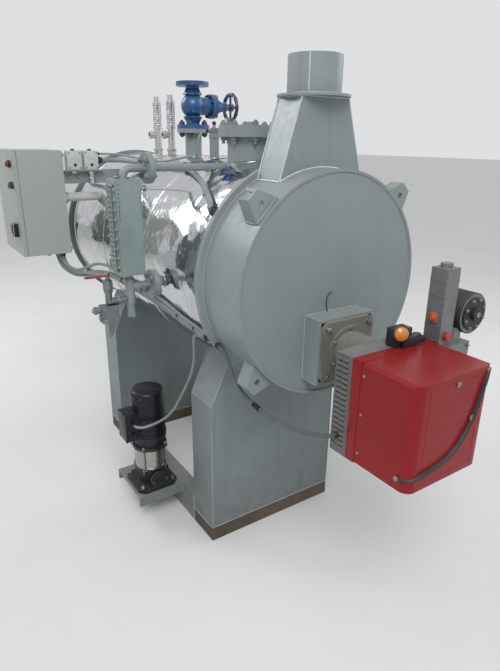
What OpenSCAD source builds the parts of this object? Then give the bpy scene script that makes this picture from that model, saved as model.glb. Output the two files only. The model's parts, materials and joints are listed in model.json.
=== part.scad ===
// Horizontal fire-tube steam boiler with its burner, feed pump, level column and control cabinet.
// Millimetres. The floor is z = 0 and the barrel axis runs along Y above x = 0.
// The front plate faces -Y. The origin lies on the floor under the middle of the front saddle.

/* [Barrel] */
// Height of the barrel axis above the floor
axis_z = 1185; // [1150:5:1260]
// Depth of the lagging between the shell and the cladding sheet
lagging_t = 20; // [18:1:24]
// Wall of the cladding sheet with its backing
cladding_t = 5; // [3:1:8]
// Outside diameter of the pressure shell
shell_d = 770; // [760:2:780]
// Wall of the pressure shell
shell_t = 8; // [6:1:12]
// Length of the pressure shell between the two tube plates
shell_len = 1487; // [1450:5:1560]
// Strip of bare shell left open in front of the rear tube plate
bare_strip = 45; // [30:5:60]
// How far the front tube plate stands out beyond the smoke box, as a ring
front_ring = 24; // [22:1:34]
// How far the rear tube plate stands out beyond the turning box
rear_ring = 26; // [22:1:34]
// Thickness of both tube plates
tube_plate_t = 20; // [14:1:26]
// How far the two smoke boxes stand out beyond the shell
box_reach = 15; // [12:1:18]
// Wall of the smoke boxes
box_t = 8; // [5:1:10]
// Depth of the front smoke box
front_box_len = 228; // [215:1:240]
// Depth of the rear turning box
rear_box_len = 80; // [60:5:90]
// Thickness of the front and rear cover plates
cover_t = 12; // [8:1:16]
// How far the cover plates sit inside the rim of their box
cover_recess = 4; // [2:1:8]

/* [Flue] */
// Width of the hopper at its top
hopper_top_w = 200; // [196:2:220]
// Width of the hopper where it meets the smoke box
hopper_foot_w = 364; // [340:4:400]
// Depth of the hopper from front to rear
hopper_depth = 130; // [120:2:134]
// Height of the hopper top above the barrel axis
hopper_rise = 622; // [600:2:650]
// Wall of the hopper sheet
hopper_t = 5; // [3:1:6]
// Diameter of the round collar plate
collar_d = 250; // [236:2:270]
// Thickness of the collar plate
collar_t = 8; // [5:1:12]
// Outside diameter of the flue stub
stub_d = 184; // [170:2:196]
// Wall of the flue stub
stub_t = 4; // [3:1:6]
// Height of the flue stub
stub_h = 120; // [90:5:160]

/* [Lifting lugs] */
// Width of a lug at the smoke box
lug_foot_w = 110; // [90:2:120]
// Width of a lug at its outer end
lug_tip_w = 46; // [40:2:56]
// How far a lug stands out from the smoke box
lug_reach = 74; // [64:2:80]
// Plate thickness of the lugs
lug_t = 10; // [8:1:14]
// Depth of the two side gussets of a lug
lug_depth = 60; // [50:5:80]
// Diameter of the lug hole
lug_hole_d = 22; // [16:1:26]
// Angle of the upper lugs above the horizontal
lug_angle = 44; // [40:1:48]

/* [Base] */
// Overall width of the saddles
saddle_w = 654; // [640:2:670]
// Depth of the saddles from front to rear
saddle_depth = 166; // [140:2:180]
// Height of the upright sides of the saddles
saddle_side_h = 660; // [620:5:690]
// Half width of the saddle where its chamfer meets the barrel
saddle_seat_x = 236; // [210:2:250]
// Distance from the middle of the rear saddle to the rear tube plate
rear_overhang = 262; // [240:1:290]
// Height of the bearers under the saddles
bearer_h = 68; // [50:2:80]
// Height of the skid channels
channel_h = 140; // [120:5:160]
// Flange width of the skid channels
channel_flange = 60; // [50:1:70]
// Web thickness of the skid channels
channel_web = 7; // [5:1:10]
// Distance from the front plate to the middle of the front saddle
front_overhang = 400; // [390:1:410]

/* [Steam valve] */
// Flange diameter of the steam valve
valve_flange_d = 150; // [140:2:160]
// Flange thickness of the steam valve
valve_flange_t = 18; // [14:1:22]
// Length of the steam valve from face to face
valve_len = 200; // [190:2:220]
// Diameter of the waterway through valve and nozzle
valve_bore = 40; // [32:1:46]
// Bolt circle of the valve flanges
valve_bolt_circle = 110; // [100:1:118]
// Diameter of the flange bolt holes
valve_bolt_d = 18; // [14:1:20]
// Distance of the valve from the front tube plate
valve_y = 780; // [740:5:820]
// Height of the upper face of the steam nozzle above the barrel axis
steam_nozzle_rise = 532; // [520:1:545]
// Outside diameter of the steam nozzle pipe
steam_pipe_d = 76; // [66:1:80]
// Distance from the valve axis to the middle of the handwheel
handwheel_reach = 205; // [195:1:230]
// Diameter of the handwheel
handwheel_d = 130; // [120:2:150]
// Thickness of the handwheel rim
handwheel_rim_d = 15; // [12:1:18]

/* [Top fittings] */
// Diameter of the blind cover on the inspection nozzle
hatch_flange_d = 250; // [236:2:260]
// Diameter of the neck of the inspection nozzle
hatch_neck_d = 180; // [170:2:190]
// Wall of the neck of the inspection nozzle
hatch_neck_t = 8; // [6:1:10]
// Thickness of the blind cover and of its flange
hatch_flange_t = 22; // [16:1:26]
// Distance of the inspection nozzle from the front tube plate
hatch_y = 300; // [290:5:330]
// Diameter of the bolt holes of the blind cover
hatch_bolt_d = 16; // [12:1:18]
// Height of the flange joint above the barrel axis
hatch_rise = 518; // [500:1:530]
// Distance of the first safety valve from the front tube plate
safety_front_y = 1015; // [1000:5:1030]
// Distance between the two safety valves
safety_pitch = 160; // [140:5:180]
// Body diameter of the safety valves
safety_d = 46; // [40:1:54]
// Height of the top of the safety valves above the barrel axis
safety_rise = 691; // [670:1:710]
// Distance of the probe nozzle from the front tube plate
probe_y = 585; // [560:5:610]
// Outside diameter of the probe nozzle
probe_d = 42; // [36:1:48]
// Height of the probe nozzle above the barrel axis
probe_rise = 535; // [510:5:560]

/* [Level column] */
// Distance of the level column from its flange joints
column_reach = 95; // [85:1:110]
// Distance of the level column from the front tube plate
column_y = 297; // [280:1:320]
// Width of the level column
column_w = 96; // [90:1:110]
// Depth of the level column
column_depth = 90; // [80:1:100]
// Height of the level column
column_h = 345; // [330:5:370]
// Height of the upper connection above the barrel axis
upper_arm_rise = 385; // [380:1:390]
// Distance between the upper and the lower connection
arm_pitch = 430; // [420:2:450]
// Diameter of the connection pipes
arm_d = 28; // [24:1:32]
// Diameter of the connection flanges
arm_flange_d = 110; // [96:2:120]
// Thickness of the connection flanges
arm_flange_t = 11; // [9:1:16]
// Distance of the flange joints from the cladding
arm_joint_gap = 40; // [34:1:50]
// Diameter of the drain pipe
drain_d = 26; // [22:1:30]
// Length of the red drain lever
lever_len = 78; // [70:2:90]

/* [Control cabinet] */
// Height of the cabinet
cabinet_h = 485; // [460:5:520]
// Width of the cabinet along the boiler
cabinet_w = 400; // [380:5:440]
// Depth of the cabinet with its door
cabinet_depth = 225; // [210:5:245]
// Thickness of the cabinet door
door_t = 18; // [14:1:24]
// Gap between the closed door and the cabinet
door_gap = 2; // [1:0.5:3]
// Wall of the cabinet sheet
cabinet_wall = 3; // [2:0.5:4]
// Distance of the cabinet back from the barrel axis
cabinet_back_x = 530; // [520:1:545]
// Distance of the cabinet from the front tube plate
cabinet_y = 1102; // [1080:2:1130]
// Height of the cabinet bottom above the floor
cabinet_z = 1130; // [1100:5:1160]
// Diameter of the tube that carries the cabinet
cabinet_arm_d = 42; // [34:1:50]
// Height of the carrying tube above the barrel axis
cabinet_arm_rise = 212; // [200:1:225]

/* [Feed pump] */
// Distance of the pump axis from the barrel axis
pump_x = 440; // [430:1:450]
// Distance of the pump axis from the front saddle middle
pump_y = 300; // [290:1:320]
// Width of the square foot of the pump
pump_foot_w = 190; // [180:2:200]
// Thickness of the foot of the pump
pump_foot_t = 20; // [14:1:26]
// Height of the pump casting with its foot
pump_base_h = 95; // [80:1:110]
// Diameter of the stage sleeve
sleeve_d = 140; // [130:1:144]
// Height of the stage sleeve
sleeve_h = 100; // [80:5:160]
// Diameter of the motor bracket
bracket_d = 156; // [152:1:170]
// Height of the motor bracket
bracket_h = 65; // [50:1:80]
// Diameter of the motor
motor_d = 152; // [144:1:156]
// Height of the motor
motor_h = 220; // [200:5:260]

/* [Burner] */
// Height of the burner axis below the barrel axis
burner_drop = 204; // [190:1:215]
// Width of the square burner mount
burner_mount_w = 250; // [236:2:260]
// Height of the square burner mount
burner_mount_h = 236; // [220:2:250]
// Depth of the burner mount in front of the front plate
burner_mount_depth = 75; // [60:1:90]
// Wall of the burner mount
burner_mount_t = 8; // [5:1:12]
// Thickness of the burner flange
burner_flange_t = 12; // [8:1:16]
// Diameter of the blast tube
blast_tube_d = 140; // [120:2:160]
// Distance from the front plate to the burner housing
burner_standoff = 210; // [200:5:230]
// Width of the burner housing
burner_w = 336; // [320:2:360]
// Height of the burner housing
burner_h = 350; // [330:5:380]
// How far the housing reaches above the burner axis
burner_top = 69; // [60:1:80]
// Depth of the grey rear part of the housing
burner_body_depth = 108; // [95:1:120]
// Depth of the red cover
burner_cover_depth = 220; // [200:5:250]
// Corner radius of the red cover
burner_cover_r = 34; // [20:1:45]

/* [Hidden] */

// Colours as seen on the object
paint_grey = "#8f999b";
plate_grey = "#a3abaa";
frame_blue = "#72858d";
bare_brown = "#5a4a40";
mirror_steel = "#c9cdd0";
cast_blue = "#245a94";
near_black = "#14171c";
cabinet_grey = "#b4b8b0";
burner_red = "#8c1620";
burner_grey = "#6d7174";

// Clearance of a curved seat
seat = 0.3;
// Clearance round a pipe where it passes the cladding
pass = 4;
// Radial running clearance of a pin in its bore
run = 0.08;

// Places along the boiler
front_y = -front_overhang;
box_d = shell_d + 2 * box_reach;
cladding_d = shell_d + 2 * (lagging_t + cladding_t);
front_tube_plate_d = box_d + 2 * front_ring;
rear_tube_plate_d = box_d + 2 * rear_ring;
tube_plate_front_y = front_y + front_box_len;
shell_y = tube_plate_front_y + tube_plate_t;
shell_end_y = shell_y + shell_len;
cladding_end_y = shell_end_y - bare_strip;
turning_box_y = shell_end_y + tube_plate_t;
rear_y = turning_box_y + rear_box_len;
rear_saddle_y = shell_end_y - rear_overhang;

// Radii of the barrel
cladding_r = cladding_d / 2;
shell_r = shell_d / 2;
box_r = box_d / 2;

// Flue
hopper_top_z = axis_z + hopper_rise;
hopper_y = tube_plate_front_y - hopper_depth / 2;
hopper_foot_z = axis_z + sqrt(pow(box_r, 2) - pow(hopper_foot_w / 2, 2));
hopper_lean = (hopper_foot_w - hopper_top_w) / 2 / (hopper_top_z - hopper_foot_z);
hopper_low_z = hopper_foot_z - 60;
stub_z = hopper_top_z + collar_t;

// Steam valve
nozzle_y = shell_y + valve_y;
nozzle_face_z = axis_z + steam_nozzle_rise;
valve_mid_z = nozzle_face_z + valve_len / 2;

// Level column
arm_joint_x = cladding_r + arm_joint_gap;
column_x = arm_joint_x + column_reach;
arm_bend_r = 30;
column_my = shell_y + column_y;
upper_arm_z = axis_z + upper_arm_rise;
lower_arm_z = upper_arm_z - arm_pitch;
column_top_z = upper_arm_z - 35;
column_low_z = column_top_z - column_h;
drain_x = column_x + 86;
drain_z = column_low_z - 16;
drain_foot_z = lower_arm_z - 48;
drain_my = column_my;
lever_t = 5;

// Control cabinet
cabinet_x = -cabinet_back_x;
cabinet_front_x = cabinet_x - cabinet_depth;
cabinet_my = shell_y + cabinet_y;
door_x = cabinet_front_x + door_t;
box_depth = cabinet_depth - door_t - door_gap;
hinge_x = door_x + door_gap / 2;
hinge_r = 6;
hinge_y = cabinet_my + cabinet_w + hinge_r + 1;
hinge_pin_d = 6;
hinge_len = 26;
hinge_heights = [cabinet_z + 80, cabinet_z + cabinet_h - 80];

// Pressure tapping and its switches
bracket_low_z = axis_z + 277;
bracket_y = cabinet_my + 12;
switch_z = bracket_low_z + 64;
switch_x = cabinet_x + 16;
switch_pitch = 80;
switch_w = 68;
tap_d = 21;
tap_y = shell_y + 732;
tap_z = bracket_low_z - 7;
tap_x = switch_x + switch_pitch + switch_w / 2;
tap_rise_y = bracket_y - 22;
tap_inner_x = 240;

// Feed pump
shelf_t = 8;
shelf_front_y = pump_y - 106;
shelf_len = 270;
shelf_w = 218;
shelf_lip = 50;
pump_z = channel_h;
sleeve_z = pump_z + pump_base_h;
bracket_z = sleeve_z + sleeve_h;
motor_z = bracket_z + bracket_h;

// Burner
burner_z = axis_z - burner_drop;
mount_front_y = front_y - burner_mount_depth;
body_y = front_y - burner_standoff;
cover_y = body_y - burner_body_depth;
burner_top_z = burner_z + burner_top;
burner_low_z = burner_top_z - burner_h;

// Routes of the cables, as points chosen along each run
burner_cable_d = 14;
burner_cable_route = [
  [-348, -172.3, 961], [-348, -186, 961], [-347, -214, 953], [-344, -234, 933], [-340, -245, 905],
  [-334, -262, 865], [-327, -300, 828], [-322, -350, 807], [-320, -400, 798], [-319, -450, 794],
  [-311, -505, 790], [-287, -560, 784], [-250, -604, 776], [-212, -632, 769], [-185, -640, 766],
  [-168.3, -640, 766]
];
pump_cable_d = 12;
pump_cable_route = [
  [-528, 256.7, 480], [-528, 248, 480], [-524, 229.6, 481], [-514, 214, 483], [-498, 204, 485],
  [-478, 200, 488], [-440, 200, 493], [-402, 203, 502], [-372, 205, 518], [-350, 202, 543],
  [-335, 190, 578], [-326, 168, 622], [-321, 140, 668], [-319, 107, 722], [-321, 70, 790],
  [-332, 40, 858], [-347, 12, 918], [-358, -16, 953], [-360, -56, 966], [-357, -98, 965],
  [-353, -140, 961], [-353, -151.7, 961]
];
roof_cable_d = 22;
roof_cable_route = [
  [-365.7, 948, 1570], [-350, 948, 1570], [-300, 934, 1570], [-264, 898, 1570], [-247, 850, 1569],
  [-232, 790, 1567], [-212, 715, 1564], [-198, 642, 1561], [-190, 500, 1565], [-191, 367, 1565],
  [-212, 260, 1553], [-240, 157, 1536], [-262, 80, 1520], [-290, -3, 1495], [-318, -80, 1466],
  [-337, -125, 1443], [-339, -140, 1441], [-339, -151.7, 1441]
];
probe_cable_d = 10;
probe_cable_route = [
  [-32.3, 433, 1707], [-38, 433, 1707], [-58, 433, 1701], [-72, 434, 1687], [-78, 435, 1667],
  [-79, 437, 1642], [-81, 443, 1621], [-87, 457, 1606], [-97, 478, 1600], [-116, 515, 1593],
  [-143, 560, 1583], [-168, 620, 1574], [-180, 690, 1575], [-200, 760, 1580], [-235, 830, 1589],
  [-280, 892, 1597], [-318, 926, 1600], [-345, 938, 1600], [-365.7, 938, 1600]
];
conduit_d = 18;
conduit_route = [
  [-560, 1000, 1129.7], [-560, 1000, 1115], [-557, 995, 1086], [-549, 981, 1062], [-538, 959, 1046],
  [-524, 934, 1040], [-490, 868, 1040], [-450, 780, 1043], [-420, 700, 1046], [-406, 620, 1047],
  [-397, 480, 1046], [-397, 310, 1043], [-393, 170, 1034], [-383, 20, 1009], [-375, -100, 993],
  [-373, -140, 989], [-373, -151.7, 989]
];

// A tube along Y with its front end at y0
module tube_y(d, wall, y0, len) {
  translate([0, y0, axis_z]) rotate([-90, 0, 0]) difference() {
    cylinder(d = d, h = len, $fn = 96);
    translate([0, 0, -1]) cylinder(d = d - 2 * wall, h = len + 2, $fn = 96);
  }
}

// A solid disc along Y with its front face at y0
module disc_y(d, y0, t) {
  translate([0, y0, axis_z]) rotate([-90, 0, 0]) cylinder(d = d, h = t, $fn = 96);
}

// A cylinder along X from x0 to x1
module rod_x(d, x0, x1) {
  translate([min(x0, x1), 0, 0]) rotate([0, 90, 0]) cylinder(d = d, h = abs(x1 - x0), $fn = 48);
}

// The space that the pressure shell takes, with its seat clearance
module shell_space(r) {
  translate([0, shell_y - 400, axis_z]) rotate([-90, 0, 0])
    cylinder(r = r + seat, h = shell_len + 800, $fn = 96);
}

// Holes through the cladding for everything that is welded to the shell
module cladding_holes() {
  top_z = axis_z + shell_r - 40;
  top_h = 120;
  translate([0, nozzle_y, top_z]) cylinder(d = steam_pipe_d + 2 * pass, h = top_h, $fn = 48);
  translate([0, shell_y + hatch_y, top_z]) cylinder(d = hatch_neck_d + 2 * pass, h = top_h, $fn = 48);
  translate([0, shell_y + probe_y, top_z]) cylinder(d = probe_d + 2 * pass, h = top_h, $fn = 48);
  for (i = [0, 1])
    translate([0, shell_y + safety_front_y + i * safety_pitch, top_z])
      cylinder(d = safety_d + 2 * pass, h = top_h, $fn = 48);
  for (z = [upper_arm_z, lower_arm_z])
    translate([0, column_my, z]) rod_x(arm_d + 2 * pass, -cladding_r - 20, -40);
  translate([0, tap_y, tap_z]) rod_x(tap_d + 2 * pass, -cladding_r, -200);
}

module pressure_shell() {
  color(paint_grey) tube_y(shell_d, shell_t, shell_y, shell_len);
}

module cladding() {
  color(mirror_steel) difference() {
    tube_y(cladding_d, cladding_t, shell_y, cladding_end_y - shell_y);
    cladding_holes();
  }
}

module front_tube_plate() {
  color(plate_grey) disc_y(front_tube_plate_d, tube_plate_front_y, tube_plate_t);
}

module rear_tube_plate() {
  color(plate_grey) disc_y(rear_tube_plate_d, shell_end_y, tube_plate_t);
}

// Outline of the hopper seen from the front, grown by g
module hopper_outline(g) {
  polygon([
    [-hopper_top_w / 2 - g, hopper_top_z],
    [hopper_top_w / 2 + g, hopper_top_z],
    [hopper_foot_w / 2 + g + hopper_lean * 60, hopper_low_z],
    [-hopper_foot_w / 2 - g - hopper_lean * 60, hopper_low_z]
  ]);
}

// The flue way inside the hopper
module hopper_way(extra) {
  translate([0, hopper_y + hopper_depth / 2 - hopper_t, 0]) rotate([90, 0, 0])
    linear_extrude(hopper_depth - 2 * hopper_t) hopper_outline(-hopper_t);
  translate([0, hopper_y, hopper_top_z - 1])
    linear_extrude(extra) square([hopper_top_w - 2 * hopper_t, hopper_depth - 2 * hopper_t], center = true);
}

module smoke_box() {
  color(plate_grey) difference() {
    tube_y(box_d, box_t, front_y, front_box_len);
    hopper_way(2);
  }
}

module front_plate() {
  color(plate_grey)
    disc_y(box_d - 2 * box_t - 2 * seat, front_y + cover_recess, cover_t);
}

module turning_box() {
  color(plate_grey) tube_y(box_d, box_t, turning_box_y, rear_box_len);
}

module rear_cover() {
  color(plate_grey)
    disc_y(box_d - 2 * box_t - 2 * seat, rear_y - cover_recess - cover_t, cover_t);
}

module flue_hopper() {
  color(paint_grey) difference() {
    translate([0, hopper_y + hopper_depth / 2, 0]) rotate([90, 0, 0])
      linear_extrude(hopper_depth) hopper_outline(0);
    hopper_way(4);
    translate([0, front_y - 1, axis_z]) rotate([-90, 0, 0])
      cylinder(r = box_r + seat, h = front_box_len + 2, $fn = 96);
  }
}

module flue_collar() {
  way_x = hopper_top_w - 2 * hopper_t;
  way_y = hopper_depth - 2 * hopper_t;
  color(plate_grey) difference() {
    translate([0, hopper_y, hopper_top_z]) cylinder(d = collar_d, h = collar_t, $fn = 64);
    intersection() {
      translate([0, hopper_y, hopper_top_z - 1])
        cylinder(d = stub_d - 2 * stub_t, h = collar_t + 2, $fn = 64);
      translate([0, hopper_y, hopper_top_z + collar_t / 2])
        cube([way_x, way_y, collar_t + 4], center = true);
    }
  }
}

module flue_stub() {
  color(paint_grey) translate([0, hopper_y, stub_z]) difference() {
    cylinder(d = stub_d, h = stub_h, $fn = 64);
    translate([0, 0, -1]) cylinder(d = stub_d - 2 * stub_t, h = stub_h + 2, $fn = 64);
  }
}

// A lifting lug at an angle round the smoke box: a drilled plate with a gusset on each side
module lug(angle) {
  lean = atan((lug_foot_w - lug_tip_w) / 2 / lug_reach);
  plate_y = front_y + 18;
  color(plate_grey) difference() {
    translate([0, 0, axis_z]) rotate([0, -angle, 0]) union() {
      translate([box_r, plate_y + lug_t, 0]) rotate([90, 0, 0]) linear_extrude(lug_t)
        polygon([[-14, -lug_foot_w / 2], [lug_reach, -lug_tip_w / 2], [lug_reach, lug_tip_w / 2],
                 [-14, lug_foot_w / 2]]);
      for (s = [-1, 1])
        translate([box_r + lug_reach, plate_y, s * lug_tip_w / 2]) rotate([0, s * lean, 0])
          translate([-lug_reach - 20, 0, s > 0 ? -lug_t : 0])
            cube([lug_reach + 20, lug_depth, lug_t]);
    }
    translate([0, front_y - 1, axis_z]) rotate([-90, 0, 0])
      cylinder(r = box_r + seat, h = front_box_len + 2, $fn = 96);
    translate([0, 0, axis_z]) rotate([0, -angle, 0]) translate([box_r + 32, plate_y - 1, 0])
      rotate([-90, 0, 0]) cylinder(d = lug_hole_d, h = lug_t + 2, $fn = 32);
  }
}

module lug_upper_left() { lug(180 - lug_angle); }
module lug_upper_right() { lug(lug_angle); }
module lug_lower_left() { lug(180 + lug_angle); }
module lug_lower_right() { lug(-lug_angle); }

// Closed plate box under the barrel, chamfered at its shoulders and hollowed to the barrel
module saddle(y) {
  shoulder_z = axis_z - sqrt(pow(cladding_r, 2) - pow(saddle_seat_x, 2)) + 4;
  color(frame_blue) difference() {
    translate([0, y + saddle_depth / 2, 0]) rotate([90, 0, 0]) linear_extrude(saddle_depth)
      polygon([[-saddle_w / 2, bearer_h], [saddle_w / 2, bearer_h], [saddle_w / 2, saddle_side_h],
               [saddle_seat_x, shoulder_z], [-saddle_seat_x, shoulder_z],
               [-saddle_w / 2, saddle_side_h]]);
    shell_space(cladding_r);
  }
}

module front_saddle() { saddle(0); }
module rear_saddle() { saddle(rear_saddle_y); }

module bearer(y) {
  color(bare_brown) translate([-saddle_w / 2, y - saddle_depth / 2, 0])
    cube([saddle_w, saddle_depth, bearer_h]);
}

module front_bearer() { bearer(0); }
module rear_bearer() { bearer(rear_saddle_y); }

// Rolled channel between the saddles, with its web outward on side s
module skid(s) {
  flange_t = channel_web + 3;
  y0 = saddle_depth / 2;
  len = rear_saddle_y - saddle_depth;
  color(frame_blue) translate([0, y0 + len, 0]) rotate([90, 0, 0]) linear_extrude(len)
    scale([s, 1]) polygon([
      [saddle_w / 2, 0], [saddle_w / 2, channel_h], [saddle_w / 2 - channel_flange, channel_h],
      [saddle_w / 2 - channel_flange, channel_h - flange_t],
      [saddle_w / 2 - channel_web, channel_h - flange_t], [saddle_w / 2 - channel_web, flange_t],
      [saddle_w / 2 - channel_flange, flange_t], [saddle_w / 2 - channel_flange, 0]
    ]);
}

module skid_left() { skid(-1); }
module skid_right() { skid(1); }

// Folded plate on the left channel that carries the pump
module pump_shelf() {
  color(frame_blue) translate([-saddle_w / 2 - shelf_w, shelf_front_y, channel_h - shelf_lip]) union() {
    translate([0, 0, shelf_lip - shelf_t]) cube([shelf_w, shelf_len, shelf_t]);
    cube([shelf_w, shelf_t, shelf_lip]);
    translate([0, shelf_len - shelf_t, 0]) cube([shelf_w, shelf_t, shelf_lip]);
  }
}

// Square foot with cut corners, casting and two ports in line
module pump_base() {
  half = pump_foot_w / 2;
  cut = 24;
  port_d = 50;
  port_z = 50;
  port_flange_d = 82;
  port_flange_t = 14;
  color(near_black) translate([-pump_x, pump_y, pump_z]) union() {
    linear_extrude(pump_foot_t) polygon([
      [-half + cut, -half], [half - cut, -half], [half, -half + cut], [half, half - cut],
      [half - cut, half], [-half + cut, half], [-half, half - cut], [-half, -half + cut]
    ]);
    cylinder(d = sleeve_d - 16, h = pump_base_h - 14, $fn = 64);
    translate([0, 0, pump_base_h - 14]) cylinder(d = sleeve_d + 8, h = 14, $fn = 64);
    translate([0, 0, port_z]) rotate([-90, 0, 0]) translate([0, 0, -half])
      cylinder(d = port_d, h = 2 * half, $fn = 32);
    for (y = [-half, half - port_flange_t])
      translate([0, y, port_z]) rotate([-90, 0, 0]) cylinder(d = port_flange_d, h = port_flange_t, $fn = 48);
  }
}

module pump_sleeve() {
  color("#9aa0a3") translate([-pump_x, pump_y, sleeve_z]) cylinder(d = sleeve_d, h = sleeve_h, $fn = 64);
}

module motor_bracket() {
  color(near_black) translate([-pump_x, pump_y, bracket_z]) union() {
    cylinder(d = bracket_d, h = 14, $fn = 64);
    cylinder(d = bracket_d - 22, h = bracket_h, $fn = 64);
    translate([0, 0, bracket_h - 16]) cylinder(d = bracket_d, h = 16, $fn = 64);
  }
}

// Motor with a domed fan cover and its terminal box on the left
module pump_motor() {
  edge_r = 18;
  box_w = 86;
  box_h = 130;
  color(near_black) translate([-pump_x, pump_y, motor_z]) union() {
    rotate_extrude($fn = 64) union() {
      square([motor_d / 2 - edge_r, motor_h]);
      square([motor_d / 2, motor_h - edge_r]);
      translate([motor_d / 2 - edge_r, motor_h - edge_r]) circle(r = edge_r, $fn = 32);
    }
    translate([-motor_d / 2 - 42, -box_w / 2, 0]) cube([70, box_w, box_h]);
  }
}

// Flange with four bolt holes off centre, bored through
module pipe_flange(d, t, bore, circle_d, hole_d) {
  difference() {
    cylinder(d = d, h = t, $fn = 64);
    translate([0, 0, -1]) cylinder(d = bore, h = t + 2, $fn = 48);
    for (a = [45 : 90 : 315])
      rotate([0, 0, a]) translate([circle_d / 2, 0, -1]) cylinder(d = hole_d, h = t + 2, $fn = 24);
  }
}

module steam_nozzle() {
  color(plate_grey) difference() {
    translate([0, nozzle_y, 0]) union() {
      translate([0, 0, nozzle_face_z - valve_flange_t])
        pipe_flange(valve_flange_d, valve_flange_t, valve_bore, valve_bolt_circle, valve_bolt_d);
      translate([0, 0, axis_z + shell_r - 20]) difference() {
        cylinder(d = steam_pipe_d, h = nozzle_face_z - valve_flange_t - axis_z - shell_r + 20, $fn = 48);
        translate([0, 0, -1]) cylinder(d = valve_bore, h = 300, $fn = 48);
      }
    }
    shell_space(shell_r);
  }
}

// Globe body with two flanges and a side neck for the bonnet
module valve_body() {
  ball_d = 108;
  neck_d = 62;
  color(cast_blue) translate([0, nozzle_y, valve_mid_z]) difference() {
    union() {
      sphere(d = ball_d, $fn = 48);
      for (s = [-1, 1])
        translate([0, 0, s > 0 ? 0 : -valve_len / 2]) cylinder(d = neck_d, h = valve_len / 2, $fn = 48);
      for (z = [-valve_len / 2, valve_len / 2 - valve_flange_t])
        translate([0, 0, z]) cylinder(d = valve_flange_d, h = valve_flange_t, $fn = 64);
      rod_x(78, 0, 84);
      rod_x(106, 84, 98);
    }
    for (s = [-1, 1])
      translate([0, 0, s > 0 ? 28 : -valve_len / 2 - 1])
        cylinder(d = valve_bore, h = valve_len / 2 - 27, $fn = 48);
    for (z = [-valve_len / 2 - 1, valve_len / 2 - valve_flange_t - 1], a = [45 : 90 : 315])
      rotate([0, 0, a]) translate([valve_bolt_circle / 2, 0, z])
        cylinder(d = valve_bolt_d, h = valve_flange_t + 2, $fn = 24);
  }
}

// Bell-shaped bonnet with its gland round the stem
module valve_bonnet() {
  gland_end = handwheel_reach - 30;
  bell_d = 84;
  gland_d = 42;
  color(cast_blue) translate([0, nozzle_y, valve_mid_z]) difference() {
    union() {
      rod_x(106, 98, 112);
      translate([112, 0, 0]) rotate([0, 90, 0]) cylinder(d1 = bell_d, d2 = 60, h = 22, $fn = 48);
      translate([134, 0, 0]) rotate([0, 90, 0]) cylinder(d1 = 60, d2 = gland_d, h = 16, $fn = 48);
      rod_x(gland_d, 150, gland_end - 10);
      translate([gland_end - 10, 0, 0]) rotate([0, 90, 0]) cylinder(d = gland_d + 8, h = 10, $fn = 6);
    }
    rod_x(16 + 2 * run, 97, gland_end + 1);
  }
}

// Handwheel on its threaded stem
module handwheel() {
  rim_r = (handwheel_d - handwheel_rim_d) / 2;
  color("#1d2733") translate([0, nozzle_y, valve_mid_z]) union() {
    rod_x(16, 100, handwheel_reach + 14);
    translate([handwheel_reach, 0, 0]) rotate([0, 90, 0]) union() {
      rotate_extrude($fn = 64) translate([rim_r, 0]) circle(d = handwheel_rim_d, $fn = 24);
      translate([0, 0, -9]) cylinder(d = 34, h = 20, $fn = 32);
      for (a = [0 : 90 : 270]) rotate([0, 0, a]) rotate([0, 90, 0])
        cylinder(d = 11, h = rim_r, $fn = 24);
    }
  }
}

// Spring-loaded safety valve with an open yoke, its outlet to the left
module safety_valve(y) {
  top_z = axis_z + safety_rise;
  body_top = top_z - 158;
  foot_z = axis_z + cladding_r - 12;
  color("#b9bdbd") translate([0, y, 0]) union() {
    difference() {
      translate([0, 0, axis_z + shell_r - 12]) cylinder(d = safety_d - 12, h = foot_z - axis_z - shell_r + 14, $fn = 32);
      translate([0, -y, 0]) shell_space(shell_r);
    }
    translate([0, 0, foot_z]) cylinder(d = safety_d, h = 30, $fn = 6);
    translate([0, 0, foot_z + 30]) cylinder(d = safety_d - 10, h = body_top - foot_z - 30, $fn = 32);
    translate([0, 0, body_top - 26]) rod_x(32, 0, -44);
    translate([0, 0, body_top - 26]) rod_x(40, -34, -46);
    translate([0, 0, body_top]) cylinder(d = safety_d + 4, h = 10, $fn = 32);
    for (a = [0 : 90 : 270]) rotate([0, 0, a + 45])
      translate([safety_d / 2 - 5, 0, body_top]) cylinder(d = 8, h = 118, $fn = 16);
    translate([0, 0, body_top]) cylinder(d = 22, h = 118, $fn = 24);
    translate([0, 0, body_top + 118]) cylinder(d = safety_d, h = 10, $fn = 32);
    translate([0, 0, body_top + 128]) cylinder(d = 32, h = 30, $fn = 32);
  }
}

module safety_valve_front() { safety_valve(shell_y + safety_front_y); }
module safety_valve_rear() { safety_valve(shell_y + safety_front_y + safety_pitch); }

// Short nozzle with a level probe head
module probe_nozzle() {
  color(plate_grey) union() {
    difference() {
      translate([0, shell_y + probe_y, axis_z + shell_r - 12])
        cylinder(d = probe_d, h = probe_rise - shell_r - 28, $fn = 48);
      shell_space(shell_r);
    }
    translate([0, shell_y + probe_y, axis_z + probe_rise - 42]) cylinder(d = probe_d + 12, h = 16, $fn = 6);
    translate([0, shell_y + probe_y, axis_z + probe_rise - 26]) cylinder(d = probe_d - 4, h = 26, $fn = 48);
    translate([0, shell_y + probe_y, axis_z + probe_rise - 13]) rod_x(16, 0, -32);
    translate([0, shell_y + probe_y, axis_z + probe_rise]) cylinder(d = 14, h = 12, $fn = 24);
  }
}

// Eight bolt holes of the inspection nozzle, from height z0 over length h
module hatch_bolt_holes(z0, h) {
  circle_r = (hatch_flange_d + hatch_neck_d) / 4;
  for (a = [22.5 : 45 : 337.5])
    translate([circle_r * cos(a), shell_y + hatch_y + circle_r * sin(a), z0])
      cylinder(d = hatch_bolt_d, h = h, $fn = 24);
}

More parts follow.
